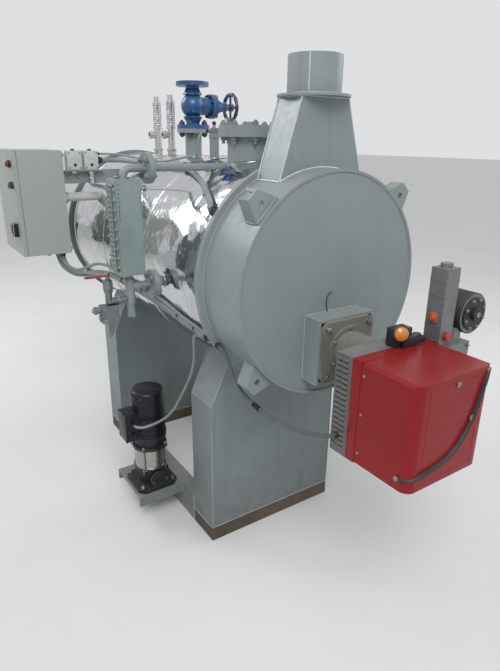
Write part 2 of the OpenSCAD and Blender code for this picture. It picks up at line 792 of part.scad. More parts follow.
module hatch_neck() {
  color(paint_grey) difference() {
    translate([0, shell_y + hatch_y, 0]) union() {
      translate([0, 0, axis_z + shell_r - 40])
        cylinder(d = hatch_neck_d, h = hatch_rise - shell_r + 40, $fn = 64);
      translate([0, 0, axis_z + hatch_rise - hatch_flange_t])
        cylinder(d = hatch_flange_d, h = hatch_flange_t, $fn = 64);
    }
    translate([0, shell_y + hatch_y, axis_z])
      cylinder(d = hatch_neck_d - 2 * hatch_neck_t, h = hatch_rise + 1, $fn = 64);
    hatch_bolt_holes(axis_z + hatch_rise - hatch_flange_t - 1, hatch_flange_t + 2);
    shell_space(shell_r);
  }
}

module hatch_cover() {
  color(paint_grey) difference() {
    translate([0, shell_y + hatch_y, axis_z + hatch_rise])
      cylinder(d = hatch_flange_d, h = hatch_flange_t, $fn = 64);
    hatch_bolt_holes(axis_z + hatch_rise - 1, hatch_flange_t + 2);
  }
}

// Nozzle with its flange on the left of the shell at height z
module side_nozzle(z) {
  color(plate_grey) difference() {
    translate([0, column_my, z]) union() {
      rod_x(arm_d, -arm_joint_x, -60);
      rod_x(arm_flange_d, -arm_joint_x, -arm_joint_x + arm_flange_t);
    }
    shell_space(shell_r);
    translate([0, shell_y + hatch_y, axis_z]) cylinder(d = hatch_neck_d + 2 * seat, h = hatch_rise, $fn = 64);
  }
}

module upper_nozzle() { side_nozzle(upper_arm_z); }
module lower_nozzle() { side_nozzle(lower_arm_z); }

// Quarter bend of a pipe that comes along -X at the origin and turns down
module elbow(d, r) {
  translate([0, 0, -r]) rotate([90, 0, 0]) rotate([0, 0, 90]) rotate_extrude(angle = 90, $fn = 64)
    translate([r, 0]) circle(d = d, $fn = 32);
}

// Pipes with flanges from the nozzles to the level column: a bend above and a tee below
module column_arms() {
  tee_d = arm_d + 8;
  color(plate_grey) translate([0, column_my, 0]) union() {
    for (z = [upper_arm_z, lower_arm_z])
      translate([0, 0, z]) rod_x(arm_flange_d, -arm_joint_x - arm_flange_t, -arm_joint_x);
    translate([0, 0, upper_arm_z]) rod_x(arm_d, -column_x + arm_bend_r, -arm_joint_x);
    translate([-column_x + arm_bend_r, 0, upper_arm_z]) elbow(arm_d, arm_bend_r);
    translate([-column_x, 0, column_top_z])
      cylinder(d = arm_d, h = upper_arm_z - arm_bend_r - column_top_z, $fn = 48);
    translate([0, 0, lower_arm_z]) rod_x(arm_d, -column_x, -arm_joint_x);
    translate([0, 0, lower_arm_z]) rod_x(tee_d, -column_x, -column_x + 34);
    translate([-column_x, 0, lower_arm_z - 30]) cylinder(d = tee_d, h = 60, $fn = 48);
    translate([-column_x, 0, lower_arm_z - 120])
      cylinder(d = arm_d, h = column_low_z - lower_arm_z + 120, $fn = 48);
    translate([-column_x, 0, drain_foot_z - 18]) cylinder(d = tee_d, h = 36, $fn = 48);
    translate([-column_x, 0, lower_arm_z - 120]) cylinder(d = tee_d, h = 16, $fn = 6);
  }
}

module level_column() {
  color(paint_grey) difference() {
    translate([-column_x - column_w / 2, column_my - column_depth / 2, column_low_z])
      cube([column_w, column_depth, column_h]);
    translate([-column_x - column_w / 2 - 1, column_my - 26, column_low_z + 24])
      cube([13, 52, column_h - 48]);
  }
}

// Reflex glass in its frame on the left of the column
module sight_glass() {
  frame_w = 48;
  frame_edge = 28;
  frame_reach = 8;
  color("#5f7f72")
    translate([-column_x - column_w / 2 - frame_reach, column_my - frame_w / 2, column_low_z + frame_edge])
      cube([frame_reach + 12, frame_w, column_h - 2 * frame_edge]);
}

// Drain pipe with its cock beside the column, over a blow-down block with a plug and a tapered foot
module drain_valve() {
  block_w = 66;
  block_depth = 40;
  block_h = 66;
  block_top = drain_foot_z - drain_d / 2 + 1;
  color("#9aa3a4") translate([0, drain_my, 0]) union() {
    translate([0, 0, drain_foot_z]) rod_x(drain_d, -drain_x, -column_x - arm_d / 2 - 4 - seat);
    translate([-drain_x, 0, drain_foot_z]) sphere(d = drain_d, $fn = 32);
    translate([-drain_x, 0, drain_foot_z]) cylinder(d = drain_d, h = drain_z - drain_foot_z, $fn = 32);
    translate([-drain_x, 0, drain_z - 34]) cylinder(d = drain_d + 12, h = 34, $fn = 8);
    translate([-drain_x, 0, drain_z]) cylinder(d = 12, h = 24, $fn = 24);
    translate([-drain_x - 36, -block_depth / 2, block_top - block_h]) cube([block_w, block_depth, block_h]);
    translate([0, 0, block_top - 16]) rod_x(24, -drain_x - 50, -drain_x - 30);
    translate([0, 5, 0]) rotate([90, 0, 0]) linear_extrude(10)
      polygon([[-drain_x - 10, block_top - block_h + 1], [-drain_x + 29, block_top - block_h + 1],
               [-drain_x + 29, block_top - block_h - 4], [-drain_x + 2, block_top - block_h - 62],
               [-drain_x - 10, block_top - block_h - 62]]);
  }
}

// Red lever on the stem of the cock
module drain_lever() {
  color("#9c2a2c") translate([-drain_x, drain_my, drain_z + 16]) difference() {
    union() {
      cylinder(d = 24, h = lever_t, $fn = 32);
      translate([-lever_len, -8, 0]) cube([lever_len, 16, lever_t]);
      translate([-lever_len, 0, 0]) cylinder(d = 16, h = lever_t, $fn = 32);
    }
    translate([0, 0, -1]) cylinder(d = 12 + 2 * run, h = lever_t + 2, $fn = 24);
  }
}

// Knuckle of a hinge, bored for its pin
module knuckle(z, h) {
  translate([hinge_x, hinge_y, z]) difference() {
    cylinder(r = hinge_r, h = h, $fn = 32);
    translate([0, 0, -1]) cylinder(d = hinge_pin_d + 2 * run, h = h + 2, $fn = 32);
  }
}

// Sheet box open toward its door, with the fixed hinge knuckles and pins
module cabinet() {
  color(cabinet_grey) union() {
    difference() {
      translate([cabinet_x - box_depth, cabinet_my, cabinet_z]) cube([box_depth, cabinet_w, cabinet_h]);
      translate([cabinet_x - box_depth - 1, cabinet_my + cabinet_wall, cabinet_z + cabinet_wall])
        cube([box_depth + 1 - cabinet_wall, cabinet_w - 2 * cabinet_wall, cabinet_h - 2 * cabinet_wall]);
    }
    for (z = hinge_heights) {
      translate([hinge_x, hinge_y, z]) cylinder(r = hinge_r, h = hinge_len / 2, $fn = 32);
      translate([hinge_x, hinge_y, z]) cylinder(d = hinge_pin_d, h = hinge_len, $fn = 32);
      translate([hinge_x, cabinet_my + cabinet_w, z]) cube([34, 4, hinge_len / 2]);
    }
  }
}

// Door with its moving knuckles, latch and two lamps
module cabinet_door() {
  latch_y = cabinet_my + 46;
  color(cabinet_grey) union() {
    translate([cabinet_front_x, cabinet_my, cabinet_z]) cube([door_t, cabinet_w, cabinet_h]);
    for (z = hinge_heights) {
      knuckle(z + hinge_len / 2 + 0.5, hinge_len / 2 - 0.5);
      translate([cabinet_front_x + 2, cabinet_my + cabinet_w, z + hinge_len / 2 + 0.5])
        cube([hinge_x - hinge_pin_d / 2 - 1 - cabinet_front_x - 2, 4, hinge_len / 2 - 0.5]);
    }
    translate([cabinet_front_x - 12, latch_y, cabinet_z + 92]) cube([12, 28, 60]);
    for (z = [cabinet_z + 330, cabinet_z + 425])
      translate([0, latch_y, z]) rod_x(26, cabinet_front_x - 22, cabinet_front_x);
  }
}

// Tube between the cabinet back and the barrel
module cabinet_arm() {
  arm_z = axis_z + cabinet_arm_rise;
  color("#c3c8c8") difference() {
    translate([0, cabinet_my + 40, arm_z]) rod_x(cabinet_arm_d, cabinet_x, -260);
    shell_space(cladding_r);
  }
}

// Plate bracket between the cabinet back and the barrel, with a shelf for the switches
module switch_bracket() {
  shelf_d = 42;
  color(paint_grey) difference() {
    translate([cabinet_x, bracket_y, bracket_low_z]) union() {
      cube([330, 8, 64]);
      translate([0, -shelf_d + 8, 58]) cube([190, shelf_d, 6]);
    }
    shell_space(cladding_r);
  }
}

module pressure_switches() {
  color("#b9bfbd") for (i = [0, 1])
    translate([switch_x + i * switch_pitch, bracket_y - 36, switch_z]) cube([switch_w, 44, 88]);
}

// Pipe from the shell to the underside of the switch shelf
module instrument_pipe() {
  color("#a9b0b0") difference() {
    union() {
      translate([0, tap_y, tap_z]) rod_x(tap_d, tap_x, -tap_inner_x);
      translate([tap_x, tap_y, tap_z]) sphere(d = tap_d, $fn = 32);
      translate([tap_x, tap_y, tap_z]) rotate([-90, 0, 0])
        cylinder(d = tap_d, h = tap_rise_y - tap_y, $fn = 32);
      translate([tap_x, tap_rise_y, tap_z]) sphere(d = tap_d, $fn = 32);
      translate([tap_x, tap_rise_y, tap_z])
        cylinder(d = tap_d, h = switch_z - 6 - tap_z, $fn = 32);
    }
    shell_space(shell_r);
  }
}

// Square sleeve welded to the front plate
module burner_mount() {
  color(paint_grey) translate([0, front_y + cover_recess, burner_z]) rotate([90, 0, 0])
    linear_extrude(burner_mount_depth + cover_recess) difference() {
      square([burner_mount_w, burner_mount_h], center = true);
      square([burner_mount_w - 2 * burner_mount_t, burner_mount_h - 2 * burner_mount_t], center = true);
    }
}

// Flange plate and blast tube
module burner_flange() {
  w = burner_mount_w - 16;
  h = burner_mount_h - 16;
  corner = 28;
  color("#8b8d88") union() {
    translate([0, mount_front_y, burner_z]) rotate([90, 0, 0]) linear_extrude(burner_flange_t) union() {
      square([w - 2 * corner, h], center = true);
      square([w, h - 2 * corner], center = true);
      for (sx = [-1, 1], sz = [-1, 1])
        translate([sx * (w / 2 - corner), sz * (h / 2 - corner)]) circle(r = corner, $fn = 32);
    }
    translate([0, body_y, burner_z]) rotate([-90, 0, 0])
      cylinder(d = blast_tube_d, h = mount_front_y - burner_flange_t - body_y + 1, $fn = 64);
  }
}

module burner_body() {
  color(burner_grey) translate([-burner_w / 2, cover_y, burner_low_z])
    cube([burner_w, burner_body_depth, burner_h]);
}

// Outline w wide and h high with its two upper corners rounded, standing on y = 0
module rounded_top(w, h, r) {
  translate([-w / 2, 0]) square([w, h - r]);
  translate([-w / 2 + r, 0]) square([w - 2 * r, h]);
  for (s = [-1, 1]) translate([s * (w / 2 - r), h - r]) circle(r = r, $fn = 32);
}

// Cover with rounded upright corners in front and rounded upper edges
module burner_cover() {
  r = burner_cover_r;
  edge_r = 16;
  h = burner_h - 6;
  color(burner_red) translate([0, cover_y - burner_cover_depth, burner_low_z + 6]) intersection() {
    linear_extrude(h) union() {
      translate([-burner_w / 2, r]) square([burner_w, burner_cover_depth - r]);
      translate([-burner_w / 2 + r, 0]) square([burner_w - 2 * r, r + 1]);
      for (s = [-1, 1]) translate([s * (burner_w / 2 - r), r]) circle(r = r, $fn = 32);
    }
    translate([0, burner_cover_depth + 1, 0]) rotate([90, 0, 0]) linear_extrude(burner_cover_depth + 2)
      rounded_top(burner_w, h, edge_r);
  }
}

// Gas valve on the right of the burner: a low block, a tall servo housing and a round regulator
module gas_valve() {
  block_w = 150;
  block_depth = 96;
  block_h = 110;
  block_z = burner_z - 60;
  housing_w = 64;
  housing_h = 262;
  regulator_d = 136;
  regulator_depth = 84;
  regulator_x = burner_w / 2 + 154;
  regulator_z = block_z + 206;
  mid_y = cover_y - 30 + block_depth / 2;
  top_z = block_z + block_h;
  color("#7d8487") union() {
    translate([burner_w / 2, cover_y - 30, block_z]) cube([block_w, block_depth, block_h]);
    translate([burner_w / 2 + 3, mid_y - housing_w / 2, top_z - 1]) cube([housing_w, housing_w, housing_h + 1]);
    translate([burner_w / 2 + 3 + housing_w / 2, mid_y, top_z + housing_h - 1])
      cylinder(d = housing_w - 24, h = 15, $fn = 48);
    translate([burner_w / 2 + 114, mid_y, top_z - 1]) cylinder(d = 56, h = 50, $fn = 48);
    translate([regulator_x, mid_y + regulator_depth / 2, regulator_z]) rotate([90, 0, 0])
      cylinder(d = regulator_d, h = regulator_depth, $fn = 64);
    translate([burner_w / 2 + 100, mid_y, block_z + block_h / 2]) rotate([-90, 0, 0])
      cylinder(d = 64, h = block_depth / 2 + 22, $fn = 48);
    translate([burner_w / 2 + 60, mid_y, block_z - 22]) cylinder(d = 40, h = 23, $fn = 6);
  }
}

// Ring of n points of radius r round point p, across direction d and turned by the guide direction
function unit(v) = v / norm(v);
function ring(p, d, r, n, guide) = let (a = unit(cross(d, guide)), b = cross(unit(d), a))
  [for (i = [0 : n - 1]) p + r * (cos(360 * i / n) * a + sin(360 * i / n) * b)];
function along(route, i) = let (m = len(route) - 1)
  i == 0 ? route[1] - route[0]
  : i == m ? route[m] - route[m - 1]
  : unit(route[i] - route[i - 1]) + unit(route[i + 1] - route[i]);

// A cable of diameter d swept along the points of a route. The guide is never along the route.
module cable(route, d, guide = [0, 0, 1], n = 8) {
  m = len(route);
  points = [for (i = [0 : m - 1]) each ring(route[i], along(route, i), d / 2, n, guide)];
  sides = [for (i = [0 : m - 2], k = [0 : n - 1])
    [i * n + k, i * n + (k + 1) % n, (i + 1) * n + (k + 1) % n, (i + 1) * n + k]];
  ends = [[for (k = [n - 1 : -1 : 0]) k], [for (k = [0 : n - 1]) (m - 1) * n + k]];
  polyhedron(points, concat(sides, ends), convexity = 6);
}

module burner_cable() { color("#3b3f40") cable(burner_cable_route, burner_cable_d); }
module pump_cable() { color("#7f8584") cable(pump_cable_route, pump_cable_d, [-1, 1, 1]); }
module roof_cable() { color("#6c7577") cable(roof_cable_route, roof_cable_d); }
module probe_cable() { color("#4a5052") cable(probe_cable_route, probe_cable_d, [1, 1, 0]); }
module conduit_run() { color("#7c8483") cable(conduit_route, conduit_d, [1, 0, 0]); }

pressure_shell();
cladding();
front_tube_plate();
rear_tube_plate();
smoke_box();
front_plate();
turning_box();
rear_cover();
flue_hopper();
flue_collar();
flue_stub();
lug_upper_left();
lug_upper_right();
lug_lower_left();
lug_lower_right();
front_saddle();
rear_saddle();
front_bearer();
rear_bearer();
skid_left();
skid_right();
pump_shelf();
pump_base();
pump_sleeve();
motor_bracket();
pump_motor();
steam_nozzle();
valve_body();
valve_bonnet();
handwheel();
safety_valve_front();
safety_valve_rear();
probe_nozzle();
hatch_neck();
hatch_cover();
upper_nozzle();
lower_nozzle();
column_arms();
level_column();
sight_glass();
drain_valve();
drain_lever();
cabinet();
cabinet_door();
cabinet_arm();
switch_bracket();
pressure_switches();
instrument_pipe();
burner_mount();
burner_flange();
burner_body();
burner_cover();
gas_valve();
burner_cable();
pump_cable();
roof_cable();
probe_cable();
conduit_run();
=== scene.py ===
import math
import json
import random
import bpy
import bmesh
from mathutils import Matrix, Vector


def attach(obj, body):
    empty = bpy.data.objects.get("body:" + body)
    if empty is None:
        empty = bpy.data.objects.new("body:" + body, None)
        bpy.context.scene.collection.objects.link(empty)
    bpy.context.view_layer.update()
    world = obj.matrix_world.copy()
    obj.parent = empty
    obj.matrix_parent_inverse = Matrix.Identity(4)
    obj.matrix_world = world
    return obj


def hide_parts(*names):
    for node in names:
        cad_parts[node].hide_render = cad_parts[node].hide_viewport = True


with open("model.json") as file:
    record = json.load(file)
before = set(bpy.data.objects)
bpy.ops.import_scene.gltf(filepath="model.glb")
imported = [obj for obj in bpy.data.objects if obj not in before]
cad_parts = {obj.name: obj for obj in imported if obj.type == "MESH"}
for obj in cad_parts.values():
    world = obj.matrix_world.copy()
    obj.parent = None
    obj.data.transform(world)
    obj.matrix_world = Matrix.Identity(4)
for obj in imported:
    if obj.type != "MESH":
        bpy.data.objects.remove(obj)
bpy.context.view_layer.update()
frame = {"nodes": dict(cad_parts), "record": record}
cad = frame["nodes"]
random.seed(11)
scene = bpy.context.scene
link = scene.collection.objects.link

# Camera at the viewpoint of the photograph, in metres
CAMERA_PLACE = (-1.2677, -1.7509, 1.6652)
LENS, SENSOR = 28.6, 36.0
yaw, pitch, roll = math.radians(34.0), math.radians(20.0), 0.0134
forward = Vector((math.sin(yaw) * math.cos(pitch), math.cos(yaw) * math.cos(pitch), -math.sin(pitch)))
right = forward.cross(Vector((0, 0, 1))).normalized()
up = right.cross(forward)
right_rolled = right * math.cos(roll) + up * math.sin(roll)
up_rolled = up * math.cos(roll) - right * math.sin(roll)
camera_data = bpy.data.cameras.new("camera")
camera_data.sensor_width = SENSOR
camera_data.lens = LENS
camera = bpy.data.objects.new("camera", camera_data)
link(camera)
pose = Matrix((right_rolled, up_rolled, -forward)).transposed().to_4x4()
pose.translation = Vector(CAMERA_PLACE)
camera.matrix_world = pose
scene.camera = camera
scene.view_settings.view_transform = "Standard"

X = Vector((1, 0, 0))
Y = Vector((0, 1, 0))
Z = Vector((0, 0, 1))

# Lengths below are in millimetres, in the frame of the solids
MM = 0.001
AXIS_Z = 1185.0
CLADDING_R = 410.0
BOX_R = 401.5
COVER_R = 391.4
VALVE_Y = 628
VALVE_Z = 1817
HATCH_Y = 148
PROBE_Y = 433
SAFETY_YS = (863, 1023)
COLUMN_Y = 145
COLUMN_ZS = (1570, 1140)
DRAIN_X = -631
PUMP = Vector((-440, 300, 0))
BURNER_Z = 981
HOUSING_X = 168
COVER_Y = -937.4
REGULATOR = Vector((322, 0, 1127))
GAS_FLANGE = Vector((318, -700, 976))
RIPPLE = 6.0
BEAD_STEP = 2.6


def basis(axis):
    w = Vector(axis).normalized()
    g = Z if abs(w.z) < 0.9 else X
    u = g.cross(w).normalized()
    return u, w.cross(u), w


def on_barrel(radius, degrees, y):
    """A point at a radius from the barrel axis. 0 degrees is +X, 90 is up."""
    a = math.radians(degrees)
    return Vector((radius * math.cos(a), y, AXIS_Z + radius * math.sin(a)))


def outward(degrees):
    return on_barrel(1, degrees, 0) - Z * AXIS_Z


def spots(centre, radius, count, start=45.0, u=X, v=Y):
    """Points evenly round a centre, in the plane of u and v. 0 degrees is along u."""
    turns = [math.radians(start + 360.0 * k / count) for k in range(count)]
    return [Vector(centre) + (u * math.cos(a) + v * math.sin(a)) * radius for a in turns]


def circle(centre, axis, radius, n=96, start=0.0):
    u, v, w = basis(axis)
    return spots(centre, radius, n, start, u, v)


def smooth_path(points, step):
    """Smooth curve through the points, in steps of about the given length."""
    p = [Vector(q) for q in points]
    h = [(p[i + 1] - p[i]).length for i in range(len(p) - 1)]
    t = []
    for i in range(len(p)):
        if i == 0:
            t.append((p[1] - p[0]) / h[0])
        elif i == len(p) - 1:
            t.append((p[-1] - p[-2]) / h[-1])
        else:
            t.append(((p[i + 1] - p[i]) / h[i] * h[i - 1] + (p[i] - p[i - 1]) / h[i - 1] * h[i]) / (h[i] + h[i - 1]))
    out = []
    for i in range(len(p) - 1):
        n = max(2, int(h[i] / step))
        for k in range(n):
            u = k / n
            out.append(p[i] * (2 * u ** 3 - 3 * u ** 2 + 1) + t[i] * h[i] * (u ** 3 - 2 * u ** 2 + u)
                       + p[i + 1] * (3 * u ** 2 - 2 * u ** 3) + t[i + 1] * h[i] * (u ** 3 - u ** 2))
    out.append(p[-1].copy())
    return out


def resample(points, step, closed=False):
    """Points at even steps along a line."""
    p = [Vector(q) for q in points]
    if closed:
        p.append(p[0].copy())
    total = sum((b - a).length for a, b in zip(p, p[1:]))
    n = max(2, int(total / step))
    out = []
    i = 0
    done = 0.0
    for k in range(n + 1):
        want = total * k / n
        while i < len(p) - 2 and done + (p[i + 1] - p[i]).length < want:
            done += (p[i + 1] - p[i]).length
            i += 1
        h = (p[i + 1] - p[i]).length
        out.append(p[i].lerp(p[i + 1], min(1.0, max(0.0, (want - done) / h)) if h else 0.0))
    return out[:-1] if closed else out


class Build:
    """Collects shapes, given in millimetres, and makes one piece of them."""

    def __init__(self):
        self.bm = bmesh.new()
        self.uv = self.bm.loops.layers.uv.new("UVMap")

    def skin(self, a, b, mat, va=None, vb=None):
        n = max(len(a), len(b))
        for k in range(n):
            k2 = (k + 1) % n
            if len(a) == 1:
                quad = [a[0], b[k2], b[k]]
            elif len(b) == 1:
                quad = [a[k], a[k2], b[0]]
            else:
                quad = [a[k], a[k2], b[k2], b[k]]
            try:
                f = self.bm.faces.new(quad)
            except ValueError:
                continue
            f.material_index = mat
            if va is not None and len(quad) == 4:
                marks = [(va, k / n), (va, (k + 1) / n), (vb, (k + 1) / n), (vb, k / n)]
                for loop, mark in zip(f.loops, marks):
                    loop[self.uv].uv = mark

    def lathe(self, origin, axis, profile, n=32, mat=0, turn=0.0):
        """Turns a profile of (radius, height) round an axis."""
        u, v, w = basis(axis)
        o = Vector(origin)
        rings = []
        for r, h in profile:
            if r < 1e-6:
                rings.append([self.bm.verts.new(o + w * h)])
            else:
                rings.append([self.bm.verts.new(o + w * h + (u * math.cos(a) + v * math.sin(a)) * r)
                              for a in (turn + 2 * math.pi * k / n for k in range(n))])
        for a, b in zip(rings, rings[1:]):
            self.skin(a, b, mat)

    def disc(self, origin, axis, r, h, n=32, mat=0, edge=0.6):
        """A round plate with its edges broken."""
        e = min(edge, h / 3, r / 3)
        self.lathe(origin, axis, [(0, 0), (r - e, 0), (r, e), (r, h - e), (r - e, h), (0, h)], n, mat)

    def ring(self, origin, axis, r0, r1, h, n=64, mat=0, edge=0.6):
        e = min(edge, h / 3, (r1 - r0) / 3)
        profile = [(r0 + e, 0), (r1 - e, 0), (r1, e), (r1, h - e), (r1 - e, h), (r0 + e, h), (r0, h - e), (r0, e),
                   (r0 + e, 0)]
        self.lathe(origin, axis, profile, n, mat)

    def box(self, lo, hi, mat=0, bevel=1.0):
        verts = bmesh.ops.create_cube(self.bm, size=1.0)["verts"]
        c = (Vector(lo) + Vector(hi)) / 2
        s = Vector(hi) - Vector(lo)
        for q in verts:
            q.co = Vector((q.co.x * s.x, q.co.y * s.y, q.co.z * s.z)) + c
        for f in set(f for q in verts for f in q.link_faces):
            f.material_index = mat
        edges = list(set(e for q in verts for e in q.link_edges))
        bmesh.ops.bevel(self.bm, geom=edges, offset=min(bevel, min(abs(k) for k in s) / 3), offset_type="OFFSET",
                        segments=2, profile=0.5, affect="EDGES")

    def tube(self, points, r, n=12, mat=0, closed=False, wave=None, flat=1.0):
        """A tube along points. wave(distance) scales the radius."""
        p = [Vector(q) for q in points]
        m = len(p)
        rings = []
        marks = []
        guide = None
        dist = 0.0
        for i in range(m):
            if closed:
                d = (p[(i + 1) % m] - p[i - 1]).normalized()
            else:
                d = (p[min(i + 1, m - 1)] - p[max(i - 1, 0)]).normalized()
            if guide is None:
                guide = basis(d)[0]
            guide = (guide - d * guide.dot(d)).normalized()
            side = d.cross(guide)
            if i:
                dist += (p[i] - p[i - 1]).length
            k = r * (wave(dist) if wave else 1.0)
            rings.append([self.bm.verts.new(p[i] + (guide * math.cos(a) + side * math.sin(a) * flat) * k)
                          for a in (2 * math.pi * j / n for j in range(n))])
            marks.append(dist)
        for i in range(m - 1):
            self.skin(rings[i], rings[i + 1], mat, marks[i], marks[i + 1])
        if closed:
            last, first = rings[-1], rings[0]
            shift = min(range(n), key=lambda s: (last[0].co - first[s].co).length)
            self.skin(last, first[shift:] + first[:shift], mat)
        else:
            for end in (rings[0], rings[-1]):
                f = self.bm.faces.new(end)
                f.material_index = mat

    def bead(self, points, r=3.0, closed=False):
        """A weld bead with its ripples, a little uneven by hand."""
        line = resample(points, BEAD_STEP, closed)
        line = [q + Vector([random.uniform(-0.3, 0.3) for _ in range(3)]) for q in line]
        self.tube(line, r, 6, 0, closed,
                  lambda s: 1.0 + 0.13 * math.sin(2 * math.pi * s / RIPPLE) + random.uniform(-0.06, 0.06))

    def nut(self, p, axis, across, h, mat=0, turn=0.0):
        r = across / math.sqrt(3)
        self.lathe(p, axis, [(0, 0), (r * 0.93, 0), (r, h * 0.1), (r, h * 0.86), (r * 0.9, h), (0, h)], 6, mat, turn)

    def bolt(self, p, axis, d, mat=0, stud=0.5):
        """Washer, nut and the end of its stud, standing on point p."""
        w = Vector(axis).normalized()
        p = Vector(p)
        self.disc(p, w, d, d * 0.16, 20, mat, 0.3)
        self.nut(p + w * d * 0.16, w, d * 1.55, d * 0.75, mat, random.uniform(0, 1))
        if stud:
            self.disc(p + w * d * 0.9, w, d * 0.46, d * stud, 12, mat, 0.5)

    def finish(self, name, slot, mats, angle=35.0, body="base", replaces=()):
        bmesh.ops.scale(self.bm, vec=Vector((MM, MM, MM)), verts=self.bm.verts)
        bmesh.ops.recalc_face_normals(self.bm, faces=self.bm.faces)
        mesh = bpy.data.meshes.new(name)
        self.bm.to_mesh(mesh)
        self.bm.free()
        for m in mats if isinstance(mats, (list, tuple)) else [mats]:
            mesh.materials.append(m)
        for f in mesh.polygons:
            f.use_smooth = True
        mesh.set_sharp_from_angle(angle=math.radians(angle))
        piece = bpy.data.objects.new(name, mesh)
        link(piece)
        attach(piece, body)
        if replaces:
            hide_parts(*replaces)
        return piece


# Materials: small helpers, then one function for each kind of surface
DUST = (0.30, 0.275, 0.24)
DIRT = (0.10, 0.078, 0.06)


def node(t, kind, values=None, **props):
    n = t.nodes.new(kind)
    for k, v in props.items():
        setattr(n, k, v)
    for k, v in (values or {}).items():
        if isinstance(v, bpy.types.NodeSocket):
            t.links.new(v, n.inputs[k])
        else:
            n.inputs[k].default_value = v
    return n


def noise(t, co, scale, detail=4.0, rough=0.55, distortion=0.0):
    n = node(t, "ShaderNodeTexNoise", {"Vector": co, "Scale": scale, "Detail": detail, "Roughness": rough,
                                       "Distortion": distortion})
    return n.outputs["Fac"]


def remap(t, value, lo, hi, a=0.0, b=1.0):
    n = node(t, "ShaderNodeMapRange", {"Value": value, "From Min": lo, "From Max": hi, "To Min": a, "To Max": b})
    return n.outputs["Result"]


def math_node(t, op, a, b=0.5):
    return node(t, "ShaderNodeMath", {0: a, 1: b}, operation=op).outputs[0]


def split(t, vector):
    return node(t, "ShaderNodeSeparateXYZ", {0: vector}).outputs


def times(t, a, b):
    return math_node(t, "MULTIPLY", a, b)


def mix(t, factor, a, b):
    n = node(t, "ShaderNodeMix", {0: factor, 6: a, 7: b}, data_type="RGBA")
    return n.outputs[2]


def rgba(c, k=1.0):
    return (c[0] * k, c[1] * k, c[2] * k, 1.0)


def mottled(t, value, color, spread, lo=0.35, hi=0.65):
    """A colour that varies by a share of itself where the value runs from lo to hi."""
    return mix(t, remap(t, value, lo, hi), rgba(color, 1 - spread), rgba(color, 1 + spread))


def bump(t, height, strength, distance, below=None):
    values = {"Height": height, "Strength": strength, "Distance": distance}
    if below is not None:
        values["Normal"] = below
    return node(t, "ShaderNodeBump", values).outputs[0]


def connect(t, bsdf, color, rough, normal):
    for socket, source in (("Base Color", color), ("Roughness", rough), ("Normal", normal)):
        t.links.new(source, bsdf.inputs[socket])


made = {}


def start_material(name, rough, metallic=0.0):
    m = bpy.data.materials.new(name)
    made[name] = m
    m.use_nodes = True
    t = m.node_tree
    bsdf = t.nodes["Principled BSDF"]
    bsdf.inputs["Roughness"].default_value = rough
    bsdf.inputs["Metallic"].default_value = metallic
    co = node(t, "ShaderNodeTexCoord").outputs["Object"]
    return m, t, bsdf, co


